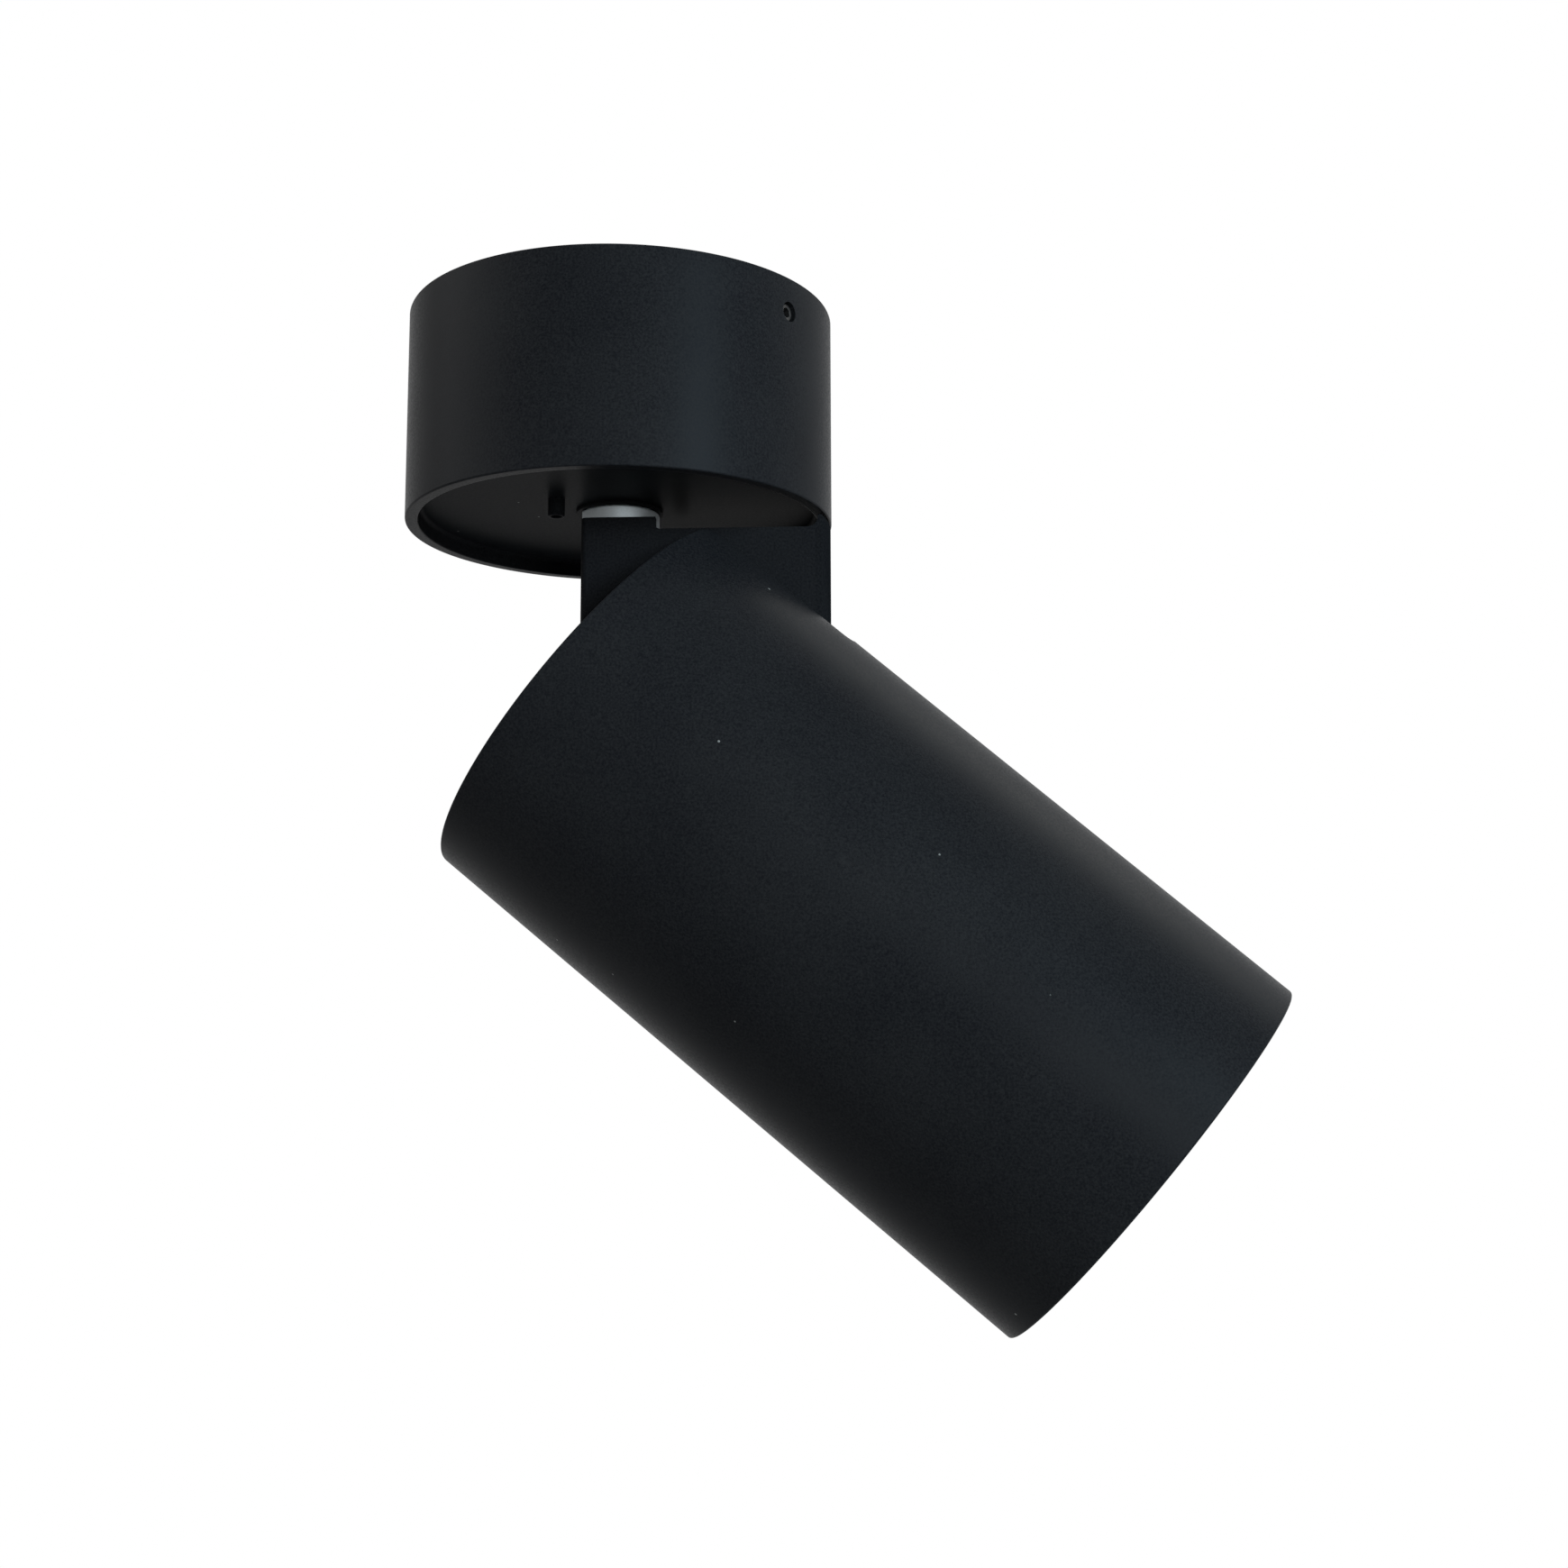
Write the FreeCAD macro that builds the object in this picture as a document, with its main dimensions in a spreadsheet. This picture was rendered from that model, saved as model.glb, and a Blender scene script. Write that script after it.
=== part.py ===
import FreeCAD, Part
import math
import os
import Sketcher
from FreeCAD import Placement, Rotation, Vector

# A round ceiling canopy, an arm that swivels under it, and a spotlight tube that folds out on the
# arm. The origin is the middle of the ceiling face, +Z is up, and the tube tips towards +X. The
# camera side is -Y. Canopy pieces are drawn with the ceiling strap along X and then turned about
# Z. Tube pieces are drawn hanging straight down and then tipped about the hinge.

doc = FreeCAD.newDocument("surface_spotlight")
sheet = doc.addObject("Spreadsheet::Sheet", "sizes")
parts = []


class Size:
    """A length, angle or count: its value now, and the formula that ties it to the sheet."""

    def __init__(self, value, formula):
        self.value = float(value)
        self.formula = formula

    def __add__(self, other):
        other = as_size(other)
        return Size(self.value + other.value, "(%s + %s)" % (self.formula, other.formula))

    def __sub__(self, other):
        other = as_size(other)
        return Size(self.value - other.value, "(%s - %s)" % (self.formula, other.formula))

    def __mul__(self, other):
        other = as_size(other)
        return Size(self.value * other.value, "%s * %s" % (self.formula, other.formula))

    def __truediv__(self, other):
        other = as_size(other)
        return Size(self.value / other.value, "%s / %s" % (self.formula, other.formula))

    def __neg__(self):
        return Size(-self.value, "(0 - %s)" % self.formula)


def as_size(item):
    return item if isinstance(item, Size) else Size(item, repr(item))


def size(name, text):
    """A driving size: one named cell of the sheet."""
    row = len([cell for cell in sheet.getUsedCells() if cell.startswith("B")]) + 1
    sheet.set("A%d" % row, name)
    sheet.set("B%d" % row, text)
    sheet.setAlias("B%d" % row, name)
    return Size(text, "sizes." + name)


def sine(angle):
    return Size(math.sin(math.radians(angle.value)), "sin(%s * 1 deg)" % angle.formula)


def cosine(angle):
    return Size(math.cos(math.radians(angle.value)), "cos(%s * 1 deg)" % angle.formula)


def root(square):
    return Size(math.sqrt(square.value), "sqrt(%s)" % square.formula)


# Driving sizes in millimetres and degrees. Heights are measured down from the ceiling face.
zero = Size(0, "0")
overrun = size("overrun", "2")
fit_gap = size("fit_gap", "0.05")
loose_gap = size("loose_gap", "0.3")

# Canopy: cast cup with its floor set in above the lip.
canopy_radius = size("canopy_radius", "50")
canopy_height = size("canopy_height", "50")
canopy_wall = size("canopy_wall", "3")
floor_thickness = size("floor_thickness", "2.2")
lip_depth = size("lip_depth", "4")
canopy_corner = size("canopy_corner", "1.2")
canopy_edge = size("canopy_edge", "0.5")
boss_radius = size("boss_radius", "3.5")
boss_height = size("boss_height", "3")

# Ceiling strap: bent steel bar with an ear at each end.
strap_angle = size("strap_angle", "-34")
strap_thickness = size("strap_thickness", "2")
strap_width = size("strap_width", "18")
strap_bend = size("strap_bend", "3")
ear_length = size("ear_length", "15")
side_screw_height = size("side_screw_height", "8")
ceiling_hole_circle = size("ceiling_hole_circle", "60")
ceiling_hole_radius = size("ceiling_hole_radius", "2.25")
cable_hole_radius = size("cable_hole_radius", "7")
side_screw_radius = size("side_screw_radius", "1.95")
side_screw_reach = size("side_screw_reach", "3")
side_screw_sink = size("side_screw_sink", "0.8")
side_hole_radius = size("side_hole_radius", "2.3")
side_socket = size("side_socket", "2.1")
earth_place = size("earth_place", "17")

# Driver and terminal block.
driver_height = size("driver_height", "23")
driver_inner_edge = size("driver_inner_edge", "11.5")
driver_outer_gap = size("driver_outer_gap", "12.5")
driver_end_gap = size("driver_end_gap", "1.2")
driver_wall = size("driver_wall", "1.6")
driver_corner = size("driver_corner", "3")
lid_thickness = size("lid_thickness", "1.8")
lid_rim = size("lid_rim", "1.2")
board_thickness = size("board_thickness", "1.6")
board_lift = size("board_lift", "4")
transformer_share = size("transformer_share", "0.7")
capacitor_share = size("capacitor_share", "0.9")
capacitor_radius_share = size("capacitor_radius_share", "0.42")
choke_share = size("choke_share", "0.5")
tab_length = size("tab_length", "7")
tab_width = size("tab_width", "8")
tab_thickness = size("tab_thickness", "2")
terminal_length = size("terminal_length", "28")
terminal_height = size("terminal_height", "13")
terminal_width = size("terminal_width", "13")
terminal_gap = size("terminal_gap", "0.7")
terminal_pitch = size("terminal_pitch", "9")
well_radius = size("well_radius", "2.5")
wire_hole_radius = size("wire_hole_radius", "2.2")
small_screw_radius = size("small_screw_radius", "1.45")
small_head_radius = size("small_head_radius", "2.75")
small_head_height = size("small_head_height", "2")
small_screw_length = size("small_screw_length", "4.5")

# Swivel in the canopy floor.
nipple_radius = size("nipple_radius", "5")
nipple_bore = size("nipple_bore", "3.6")
collar_radius = size("collar_radius", "10.2")
washer_thickness = size("washer_thickness", "0.8")
nipple_spare = size("nipple_spare", "1")
spring_thickness = size("spring_thickness", "0.6")
spring_rise = size("spring_rise", "0.5")
swivel_nut_across = size("swivel_nut_across", "14")
swivel_nut_height = size("swivel_nut_height", "3.5")
nipple_seat = size("nipple_seat", "9")
stop_circle = size("stop_circle", "17.3")
stop_angle = size("stop_angle", "-140.6")
stop_pin_radius = size("stop_pin_radius", "1.95")
stop_pin_drop = size("stop_pin_drop", "4.65")
stop_head_radius = size("stop_head_radius", "3.5")
stop_head_height = size("stop_head_height", "2.4")

# Arm: hollow casting between the swivel and the hinge.
arm_drop = size("arm_drop", "3.8")
arm_start = size("arm_start", "6.7")
arm_height = size("arm_height", "26")
arm_half_width = size("arm_half_width", "13")
arm_proud = size("arm_proud", "0.3")
round_end = size("round_end", "12.8")
arm_wall = size("arm_wall", "3")
arm_web = size("arm_web", "5")
arm_web_rise = size("arm_web_rise", "2.8")
arm_web_lip = size("arm_web_lip", "2.6")
arm_web_round = size("arm_web_round", "2.4")
arm_corner = size("arm_corner", "1.4")
cheek_tab_rise = size("cheek_tab_rise", "2.85")
cheek_tab_end = size("cheek_tab_end", "9.8")
cheek_tab_thickness = size("cheek_tab_thickness", "2.5")
cheek_tab_round = size("cheek_tab_round", "1")
stop_lug_radius = size("stop_lug_radius", "2")
stop_lug_rise = size("stop_lug_rise", "4.3")
underside_slope = size("underside_slope", "20")
hinge_boss = size("hinge_boss", "8")
cover_boss = size("cover_boss", "7")
cover_boss_height = size("cover_boss_height", "8")
cover_thickness = size("cover_thickness", "1.5")
cover_screw_radius = size("cover_screw_radius", "1.2")
cover_screw_head = size("cover_screw_head", "2.4")
cover_screw_length = size("cover_screw_length", "6")
cover_head_height = size("cover_head_height", "0.8")
cover_screw_inset = size("cover_screw_inset", "3.4")
grommet_wall = size("grommet_wall", "1.4")
grommet_bore = size("grommet_bore", "2.6")
grommet_flange = size("grommet_flange", "1")
cover_exit_share = size("cover_exit_share", "0.62")

# Hinge.
tilt = size("tilt", "50")
hinge_pin_radius = size("hinge_pin_radius", "2.5")
hinge_head_radius = size("hinge_head_radius", "4.25")
hinge_head_height = size("hinge_head_height", "2.8")
hinge_socket = size("hinge_socket", "3")
hinge_nut_across = size("hinge_nut_across", "8")
hinge_nut_height = size("hinge_nut_height", "2.7")
hinge_washer = size("hinge_washer", "0.6")
hinge_washer_radius = size("hinge_washer_radius", "5.5")
hinge_spring = size("hinge_spring", "0.8")
yoke_ear = size("yoke_ear", "3")
yoke_ear_radius = size("yoke_ear_radius", "6")
yoke_foot = size("yoke_foot", "9")
yoke_base = size("yoke_base", "3")
yoke_half_width = size("yoke_half_width", "27")
yoke_reach = size("yoke_reach", "23")
yoke_hole_reach = size("yoke_hole_reach", "17")
yoke_hole_y = size("yoke_hole_y", "22")
yoke_hole_step = size("yoke_hole_step", "13")
yoke_screw_radius = size("yoke_screw_radius", "1.95")
yoke_screw_head = size("yoke_screw_head", "3.5")
yoke_head_height = size("yoke_head_height", "2.2")

# Lamp tube.
tube_radius = size("tube_radius", "49.5")
tube_wall = size("tube_wall", "3")
tube_length = size("tube_length", "167")
tube_gap = size("tube_gap", "2.5")
tube_edge = size("tube_edge", "0.5")
slot_gap = size("slot_gap", "0.6")
slot_stop = size("slot_stop", "0.5")
slot_corner = size("slot_corner", "2.5")
well_depth = size("well_depth", "42")

# Heat sink, light source and optics.
sink_plate = size("sink_plate", "4")
sink_foot = size("sink_foot", "5")
sink_core = size("sink_core", "13")
fin_thickness = size("fin_thickness", "1.6")
fin_count = size("fin_count", "25")
sink_cable_inset = size("sink_cable_inset", "22.5")
chip_side = size("chip_side", "20")
chip_thickness = size("chip_thickness", "1.4")
emitter_radius = size("emitter_radius", "7")
emitter_height = size("emitter_height", "0.6")
holder_radius = size("holder_radius", "24")
holder_height = size("holder_height", "6")
holder_mouth = size("holder_mouth", "10.5")
holder_screw_place = size("holder_screw_place", "18.5")
reflector_throat = size("reflector_throat", "11")
reflector_rim = size("reflector_rim", "4.5")
reflector_height = size("reflector_height", "42")
reflector_wall = size("reflector_wall", "0.8")
glass_clearance = size("glass_clearance", "1")
glass_thickness = size("glass_thickness", "3")
gasket_thickness = size("gasket_thickness", "1")
gasket_width = size("gasket_width", "2.5")
baffle_mouth_wall = size("baffle_mouth_wall", "1.6")
baffle_throat_wall = size("baffle_throat_wall", "6.1")
glare_depth = size("glare_depth", "24.2")
baffle_inset = size("baffle_inset", "0.6")
baffle_groove_share = size("baffle_groove_share", "0.35")
baffle_steps = 5
reflector_shares = ((0.1, 0.34), (0.28, 0.6), (0.55, 0.82))

# Heights and radii that several pieces share, worked out from the driving sizes.
ceiling = zero
lip_z = -canopy_height
floor_under = lip_z + lip_depth
floor_top = floor_under + floor_thickness
arm_top = lip_z - arm_drop
hinge_z = arm_top - arm_height
tube_top = lip_z - tube_gap
tube_end = tube_top - tube_length
well_floor = tube_top - well_depth
sink_top = well_floor - yoke_base
glass_under = tube_end + glare_depth
glass_top = glass_under + glass_thickness
reflector_end = glass_top + gasket_thickness
holder_end = reflector_end + reflector_wall + reflector_height
sink_end = holder_end + holder_height
tube_inner = tube_radius - tube_wall
canopy_inner = canopy_radius - canopy_wall
glass_radius = tube_inner - glass_clearance
arm_radius = tube_radius + arm_proud
hinge_x = arm_radius - round_end
doc.recompute()

FACING = {"XY": 1, "YZ": 1, "XZ": -1}


def new_body(name):
    """A sub-part: its name is the name of its file."""
    body = doc.addObject("PartDesign::Body", name)
    body.Label = name
    body.AllowCompound = True
    parts.append(body)
    return body


def datum(body, role):
    return [item for item in body.Origin.OriginFeatures if item.Role == role][0]


def sketch_on(body, plane, level, leaning=False):
    """An empty sketch on one of the body's own planes, moved along the plane's axis to a level.

    A leaning sketch lies on the arm's sloping underside instead of on the level XY plane.
    """
    sketch = body.newObject("Sketcher::SketchObject", body.Name + "_sketch")
    sketch.AttachmentSupport = [(datum(body, plane + "_Plane"), "")]
    sketch.MapMode = "FlatFace"
    offset = level if FACING[plane] > 0 else -level
    if leaning:
        x = arm_x + level * sine(underside_slope)
        z = corner_z + level * cosine(underside_slope)
        turned = Rotation(Vector(0, 1, 0), underside_slope.value)
        sketch.AttachmentOffset = Placement(Vector(x.value, 0, z.value), turned)
        sketch.setExpression("AttachmentOffset.Base.x", x.formula)
        sketch.setExpression("AttachmentOffset.Base.z", z.formula)
        sketch.setExpression("AttachmentOffset.Rotation.Angle", underside_slope.formula)
        return sketch
    sketch.AttachmentOffset = Placement(Vector(0, 0, offset.value), Rotation())
    sketch.setExpression("AttachmentOffset.Base.z", offset.formula)
    return sketch


def tie(sketch, constraint, amount):
    """One driven dimension of a sketch."""
    sketch.setExpression("Constraints[%d]" % sketch.addConstraint(constraint), amount.formula)


def arc_between(x0, y0, x1, y1, bend):
    """Arc of radius |bend|, turning left when bend is positive and right when it is negative."""
    half = math.hypot(x1 - x0, y1 - y0) / 2
    rise = math.copysign(math.sqrt(bend * bend - half * half), bend)
    centre_x = (x0 + x1) / 2 - (y1 - y0) / (2 * half) * rise
    centre_y = (y0 + y1) / 2 + (x1 - x0) / (2 * half) * rise
    start = math.atan2(y0 - centre_y, x0 - centre_x)
    stop = math.atan2(y1 - centre_y, x1 - centre_x)
    circle = Part.Circle(Vector(centre_x, centre_y, 0), Vector(0, 0, 1), abs(bend))
    if bend > 0:
        return Part.ArcOfCircle(circle, start, stop)
    return Part.ArcOfCircle(circle, stop, start)


def draw_outline(sketch, points):
    """A closed outline. A third number on a point makes the next side an arc of that radius."""
    starts = []
    ends = []
    for index, point in enumerate(points):
        after = points[(index + 1) % len(points)]
        x0, y0 = point[0].value, point[1].value
        x1, y1 = after[0].value, after[1].value
        if len(point) == 3:
            bend = point[2]
            edge = sketch.addGeometry(arc_between(x0, y0, x1, y1, bend.value), False)
            radius = bend if bend.value > 0 else -bend
            tie(sketch, Sketcher.Constraint("Radius", edge, radius.value), radius)
            starts.append((edge, 1 if bend.value > 0 else 2))
            ends.append((edge, 2 if bend.value > 0 else 1))
        else:
            line = Part.LineSegment(Vector(x0, y0, 0), Vector(x1, y1, 0))
            edge = sketch.addGeometry(line, False)
            starts.append((edge, 1))
            ends.append((edge, 2))
    for index, end in enumerate(ends):
        start = starts[(index + 1) % len(starts)]
        sketch.addConstraint(Sketcher.Constraint("Coincident", end[0], end[1], start[0], start[1]))
    for point, start in zip(points, starts):
        x, y = point[0], point[1]
        tie(sketch, Sketcher.Constraint("DistanceX", -1, 1, start[0], start[1], x.value), x)
        tie(sketch, Sketcher.Constraint("DistanceY", -1, 1, start[0], start[1], y.value), y)


def draw_circle(sketch, x, y, radius):
    circle = Part.Circle(Vector(x.value, y.value, 0), Vector(0, 0, 1), radius.value)
    edge = sketch.addGeometry(circle, False)
    tie(sketch, Sketcher.Constraint("DistanceX", -1, 1, edge, 3, x.value), x)
    tie(sketch, Sketcher.Constraint("DistanceY", -1, 1, edge, 3, y.value), y)
    tie(sketch, Sketcher.Constraint("Radius", edge, radius.value), radius)


def disc(x, y, radius):
    return ("disc", x, y, radius)


def box(x0, y0, x1, y1):
    return [(x0, y0), (x1, y0), (x1, y1), (x0, y1)]


def hexagon(x, y, across):
    """A hexagon with two flats square to the first axis."""
    flat = across / 2
    corner = across / root(as_size(3))
    rise = corner / 2
    return [(x + flat, y - rise), (x + flat, y + rise), (x, y + corner),
            (x - flat, y + rise), (x - flat, y - rise), (x, y - corner)]


def draw(sketch, shapes):
    for shape in shapes:
        if shape[0] == "disc":
            draw_circle(sketch, shape[1], shape[2], shape[3])
        else:
            draw_outline(sketch, shape)


def finish_feature(body, feature, grows):
    """Recompute one feature and make sure that it really added or removed material."""
    before = feature.BaseFeature.Shape.Volume if feature.BaseFeature else 0
    doc.recompute()
    after = feature.Shape.Volume
    if (after <= before) if grows else (after >= before):
        raise RuntimeError("%s: %s changed nothing" % (body.Label, feature.Name))
    body.Tip = feature
    return feature


def pad(body, plane, shapes, start, stop):
    """Material between two levels along the plane's axis."""
    feature = body.newObject("PartDesign::Pad", body.Name + "_pad")
    feature.Profile = sketch_on(body, plane, start)
    draw(feature.Profile[0], shapes)
    feature.Length = (stop - start).value
    feature.setExpression("Length", (stop - start).formula)
    feature.Reversed = FACING[plane] < 0
    return finish_feature(body, feature, True)


def cut(body, plane, shapes, start, stop, leaning=False):
    """A hole or pocket between two levels along the plane's axis."""
    feature = body.newObject("PartDesign::Pocket", body.Name + "_cut")
    feature.Profile = sketch_on(body, plane, start, leaning)
    draw(feature.Profile[0], shapes)
    feature.Length = (stop - start).value
    feature.setExpression("Length", (stop - start).formula)
    feature.Reversed = FACING[plane] > 0
    return finish_feature(body, feature, False)


def turn(body, points, kind="PartDesign::Revolution"):
    """A turned shape: the outline is radius and height, spun about the body's Z axis."""
    feature = body.newObject(kind, body.Name + "_turn")
    sketch = sketch_on(body, "XZ", zero)
    draw_outline(sketch, points)
    feature.Profile = sketch
    feature.ReferenceAxis = (sketch, ["V_Axis"])
    feature.Angle = 360
    return finish_feature(body, feature, kind == "PartDesign::Revolution")


def turn_away(body, points):
    return turn(body, points, "PartDesign::Groove")


def ring(body, inner, outer, under, top):
    return turn(body, box(inner, under, outer, top))


def around(body, features, count):
    """Copies of some features, evenly spaced about the body's Z axis."""
    feature = body.newObject("PartDesign::PolarPattern", body.Name + "_around")
    feature.Originals = features
    feature.Axis = (datum(body, "Z_Axis"), [""])
    feature.Angle = 360
    feature.Occurrences = int(as_size(count).value)
    feature.setExpression("Occurrences", as_size(count).formula)
    body.Tip = feature
    doc.recompute()
    return feature


def soften(body, radius, wanted, kind="PartDesign::Fillet"):
    """Round or bevel the edges that the test picks out."""
    base = body.Tip
    edges = base.Shape.Edges
    names = ["Edge%d" % (index + 1) for index, edge in enumerate(edges) if wanted(edge)]
    if not names:
        raise RuntimeError("%s: no edge to soften" % body.Label)
    feature = body.newObject(kind, body.Name + "_edge")
    feature.Base = (base, names)
    amount = "Radius" if kind == "PartDesign::Fillet" else "Size"
    setattr(feature, amount, radius.value)
    feature.setExpression(amount, radius.formula)
    body.Tip = feature
    doc.recompute()
    return feature


def bevel(body, amount, wanted):
    return soften(body, amount, wanted, "PartDesign::Chamfer")


def near(value, wanted):
    return abs(value - wanted.value) < fit_gap.value / 2


def rim(radius, height):
    """Test for a full circle about the Z axis."""
    def wanted(edge):
        bounds = edge.BoundBox
        flat = near(bounds.ZMin, height) and near(bounds.ZMax, height)
        return flat and near(bounds.XMax, radius) and near(bounds.YMax, radius)
    return wanted


def upright(x_places, y_places):
    """Test for a vertical edge whose place is one of some X and one of some Y values."""
    def wanted(edge):
        bounds = edge.BoundBox
        thin = bounds.XLength < fit_gap.value and bounds.YLength < fit_gap.value
        in_x = any(near(bounds.Center.x, x) for x in x_places)
        in_y = any(near(bounds.Center.y, y) for y in y_places)
        return thin and in_x and in_y
    return wanted


def crosswise(x, z):
    """Test for an edge along Y at one place in X and Z."""
    def wanted(edge):
        bounds = edge.BoundBox
        thin = bounds.XLength < fit_gap.value and bounds.ZLength < fit_gap.value
        return thin and near(bounds.Center.x, x) and near(bounds.Center.z, z)
    return wanted


def place(body, axis, angle, x=zero, y=zero, z=zero):
    """Turn a finished body about an axis through its origin, then move it."""
    body.Placement = Placement(Vector(x.value, y.value, z.value), Rotation(axis, angle.value))
    body.setExpression("Placement.Base.x", x.formula)
    body.setExpression("Placement.Base.y", y.formula)
    body.setExpression("Placement.Base.z", z.formula)
    body.setExpression("Placement.Rotation.Angle", angle.formula)
    doc.recompute()


def turn_with_strap(body):
    place(body, Vector(0, 0, 1), strap_angle)


def tip_with_tube(body):
    """Tip a piece of the tube about the hinge, from hanging straight to the shown pose."""
    x = hinge_x - hinge_x * cosine(tilt) + hinge_z * sine(tilt)
    z = hinge_z - hinge_x * sine(tilt) - hinge_z * cosine(tilt)
    place(body, Vector(0, -1, 0), tilt, x, zero, z)


# Canopy shell: one casting. The stop pin's place is given in the strap's own direction.
stop_x = stop_circle * cosine(stop_angle - strap_angle)
stop_y = stop_circle * sine(stop_angle - strap_angle)
driver_near = driver_inner_edge
driver_far = canopy_inner - driver_outer_gap
driver_offset = (driver_near + driver_far) / 2
driver_rim = canopy_inner - driver_end_gap
tab_side = driver_offset + tab_width / 2
tab_reach = root(driver_rim * driver_rim - tab_side * tab_side)
driver_x = tab_reach - tab_length
driver_screw_x = tab_reach - tab_length / 2
terminal_near = stop_circle + stop_head_radius + terminal_gap
terminal_far = terminal_near + terminal_width
terminal_offset = (terminal_near + terminal_far) / 2
terminal_screw_x = terminal_length / 2 + boss_radius + fit_gap
screw_places = [(driver_screw_x, driver_offset), (-driver_screw_x, driver_offset),
                (terminal_screw_x, -terminal_offset), (-terminal_screw_x, -terminal_offset)]
boss_top = floor_top + boss_height
running_radius = nipple_radius + fit_gap


def make_canopy_shell():
    body = new_body("canopy_shell")
    turn(body, [(running_radius, floor_top), (canopy_inner, floor_top), (canopy_inner, ceiling),
                (canopy_radius, ceiling), (canopy_radius, lip_z), (canopy_inner, lip_z),
                (canopy_inner, floor_under), (running_radius, floor_under)])
    bevel(body, canopy_corner, rim(canopy_inner, floor_top))
    bevel(body, canopy_corner, rim(canopy_inner, floor_under))
    bevel(body, canopy_edge, rim(canopy_radius, lip_z))
    bevel(body, canopy_edge, rim(canopy_inner, lip_z))
    pad(body, "XY", [disc(x, y, boss_radius) for x, y in screw_places], floor_top, boss_top)
    pilot = small_screw_radius + fit_gap
    cut(body, "XY", [disc(x, y, pilot) for x, y in screw_places], floor_top, boss_top)
    cut(body, "XY", [disc(stop_x, stop_y, stop_pin_radius + fit_gap)],
        floor_under - overrun, floor_top + overrun)
    cut(body, "YZ", [disc(zero, -side_screw_height, side_hole_radius)],
        -canopy_radius - overrun, canopy_radius + overrun)
    turn_with_strap(body)


def make_ceiling_strap():
    body = new_body("ceiling_strap")
    half = strap_width / 2
    reach = root((canopy_inner - loose_gap) * (canopy_inner - loose_gap) - half * half)
    inner = reach - strap_thickness
    pad(body, "XZ", [[(reach, ceiling), (reach, -ear_length), (inner, -ear_length),
                      (inner, -strap_thickness), (-inner, -strap_thickness),
                      (-inner, -ear_length), (-reach, -ear_length), (-reach, ceiling)]],
        -half, half)
    soften(body, strap_bend, crosswise(reach, ceiling))
    soften(body, strap_bend, crosswise(-reach, ceiling))
    soften(body, strap_bend - strap_thickness, crosswise(inner, -strap_thickness))
    soften(body, strap_bend - strap_thickness, crosswise(-inner, -strap_thickness))
    hole_x = ceiling_hole_circle / 2
    cut(body, "XY", [disc(hole_x, zero, ceiling_hole_radius),
                     disc(-hole_x, zero, ceiling_hole_radius),
                     disc(zero, zero, cable_hole_radius),
                     disc(earth_place, zero, small_screw_radius + fit_gap)],
        -strap_thickness - overrun, overrun)
    cut(body, "YZ", [disc(zero, -side_screw_height, side_screw_radius + fit_gap)],
        -reach - overrun, reach + overrun)
    turn_with_strap(body)


def make_side_screws():
    body = new_body("side_screws")
    head = canopy_radius - side_screw_sink
    tail = canopy_inner - loose_gap - strap_thickness - side_screw_reach
    shank = pad(body, "YZ", [disc(zero, -side_screw_height, side_screw_radius)], tail, head)
    socket = cut(body, "YZ", [hexagon(zero, -side_screw_height, side_socket)],
                 head - side_screw_radius, head + overrun)
    around(body, [shank, socket], 2)
    turn_with_strap(body)


def make_cable_grommet():
    body = new_body("strap_grommet")
    neck = cable_hole_radius - fit_gap
    flange = cable_hole_radius + grommet_wall
    bore = cable_hole_radius - grommet_wall
    turn(body, [(bore, ceiling), (neck, ceiling), (neck, -strap_thickness),
                (flange, -strap_thickness), (flange, -strap_thickness - grommet_flange),
                (bore, -strap_thickness - grommet_flange)])
    turn_with_strap(body)


def make_earth_screw():
    body = new_body("earth_screw")
    head = -strap_thickness - small_head_height
    pad(body, "XY", [disc(earth_place, zero, small_screw_radius)], -strap_thickness, ceiling)
    pad(body, "XY", [disc(earth_place, zero, small_head_radius)], head, -strap_thickness)
    cut(body, "XY", [hexagon(earth_place, zero, small_head_radius)],
        head, head + small_head_height / 2)
    turn_with_strap(body)


driver_top = floor_top + driver_height


def make_driver_case():
    body = new_body("driver_case")
    pad(body, "XY", [box(-driver_x, driver_near, driver_x, driver_far)], floor_top, driver_top)
    soften(body, driver_corner, upright([driver_x, -driver_x], [driver_near, driver_far]))
    half = tab_width / 2
    pad(body, "XY", [box(-tab_reach, driver_offset - half, tab_reach, driver_offset + half)],
        boss_top, boss_top + tab_thickness)
    cut(body, "XY", [box(driver_wall - driver_x, driver_near + driver_wall,
                         driver_x - driver_wall, driver_far - driver_wall)],
        floor_top + driver_wall, driver_top + overrun)
    cut(body, "XY", [disc(x, y, small_screw_radius + loose_gap) for x, y in screw_places[:2]],
        boss_top - overrun, boss_top + tab_thickness + overrun)
    turn_with_strap(body)


def make_driver_lid():
    body = new_body("driver_lid")
    pad(body, "XY", [box(-driver_x, driver_near, driver_x, driver_far)],
        driver_top, driver_top + lid_thickness)
    soften(body, driver_corner, upright([driver_x, -driver_x], [driver_near, driver_far]))
    inset = driver_wall + fit_gap
    pad(body, "XY", [box(inset - driver_x, driver_near + inset, driver_x - inset,
                         driver_far - inset)], driver_top - lid_thickness, driver_top)
    deeper = inset + lid_rim
    cut(body, "XY", [box(deeper - driver_x, driver_near + deeper, driver_x - deeper,
                         driver_far - deeper)], driver_top - lid_thickness - overrun, driver_top)
    turn_with_strap(body)


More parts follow.
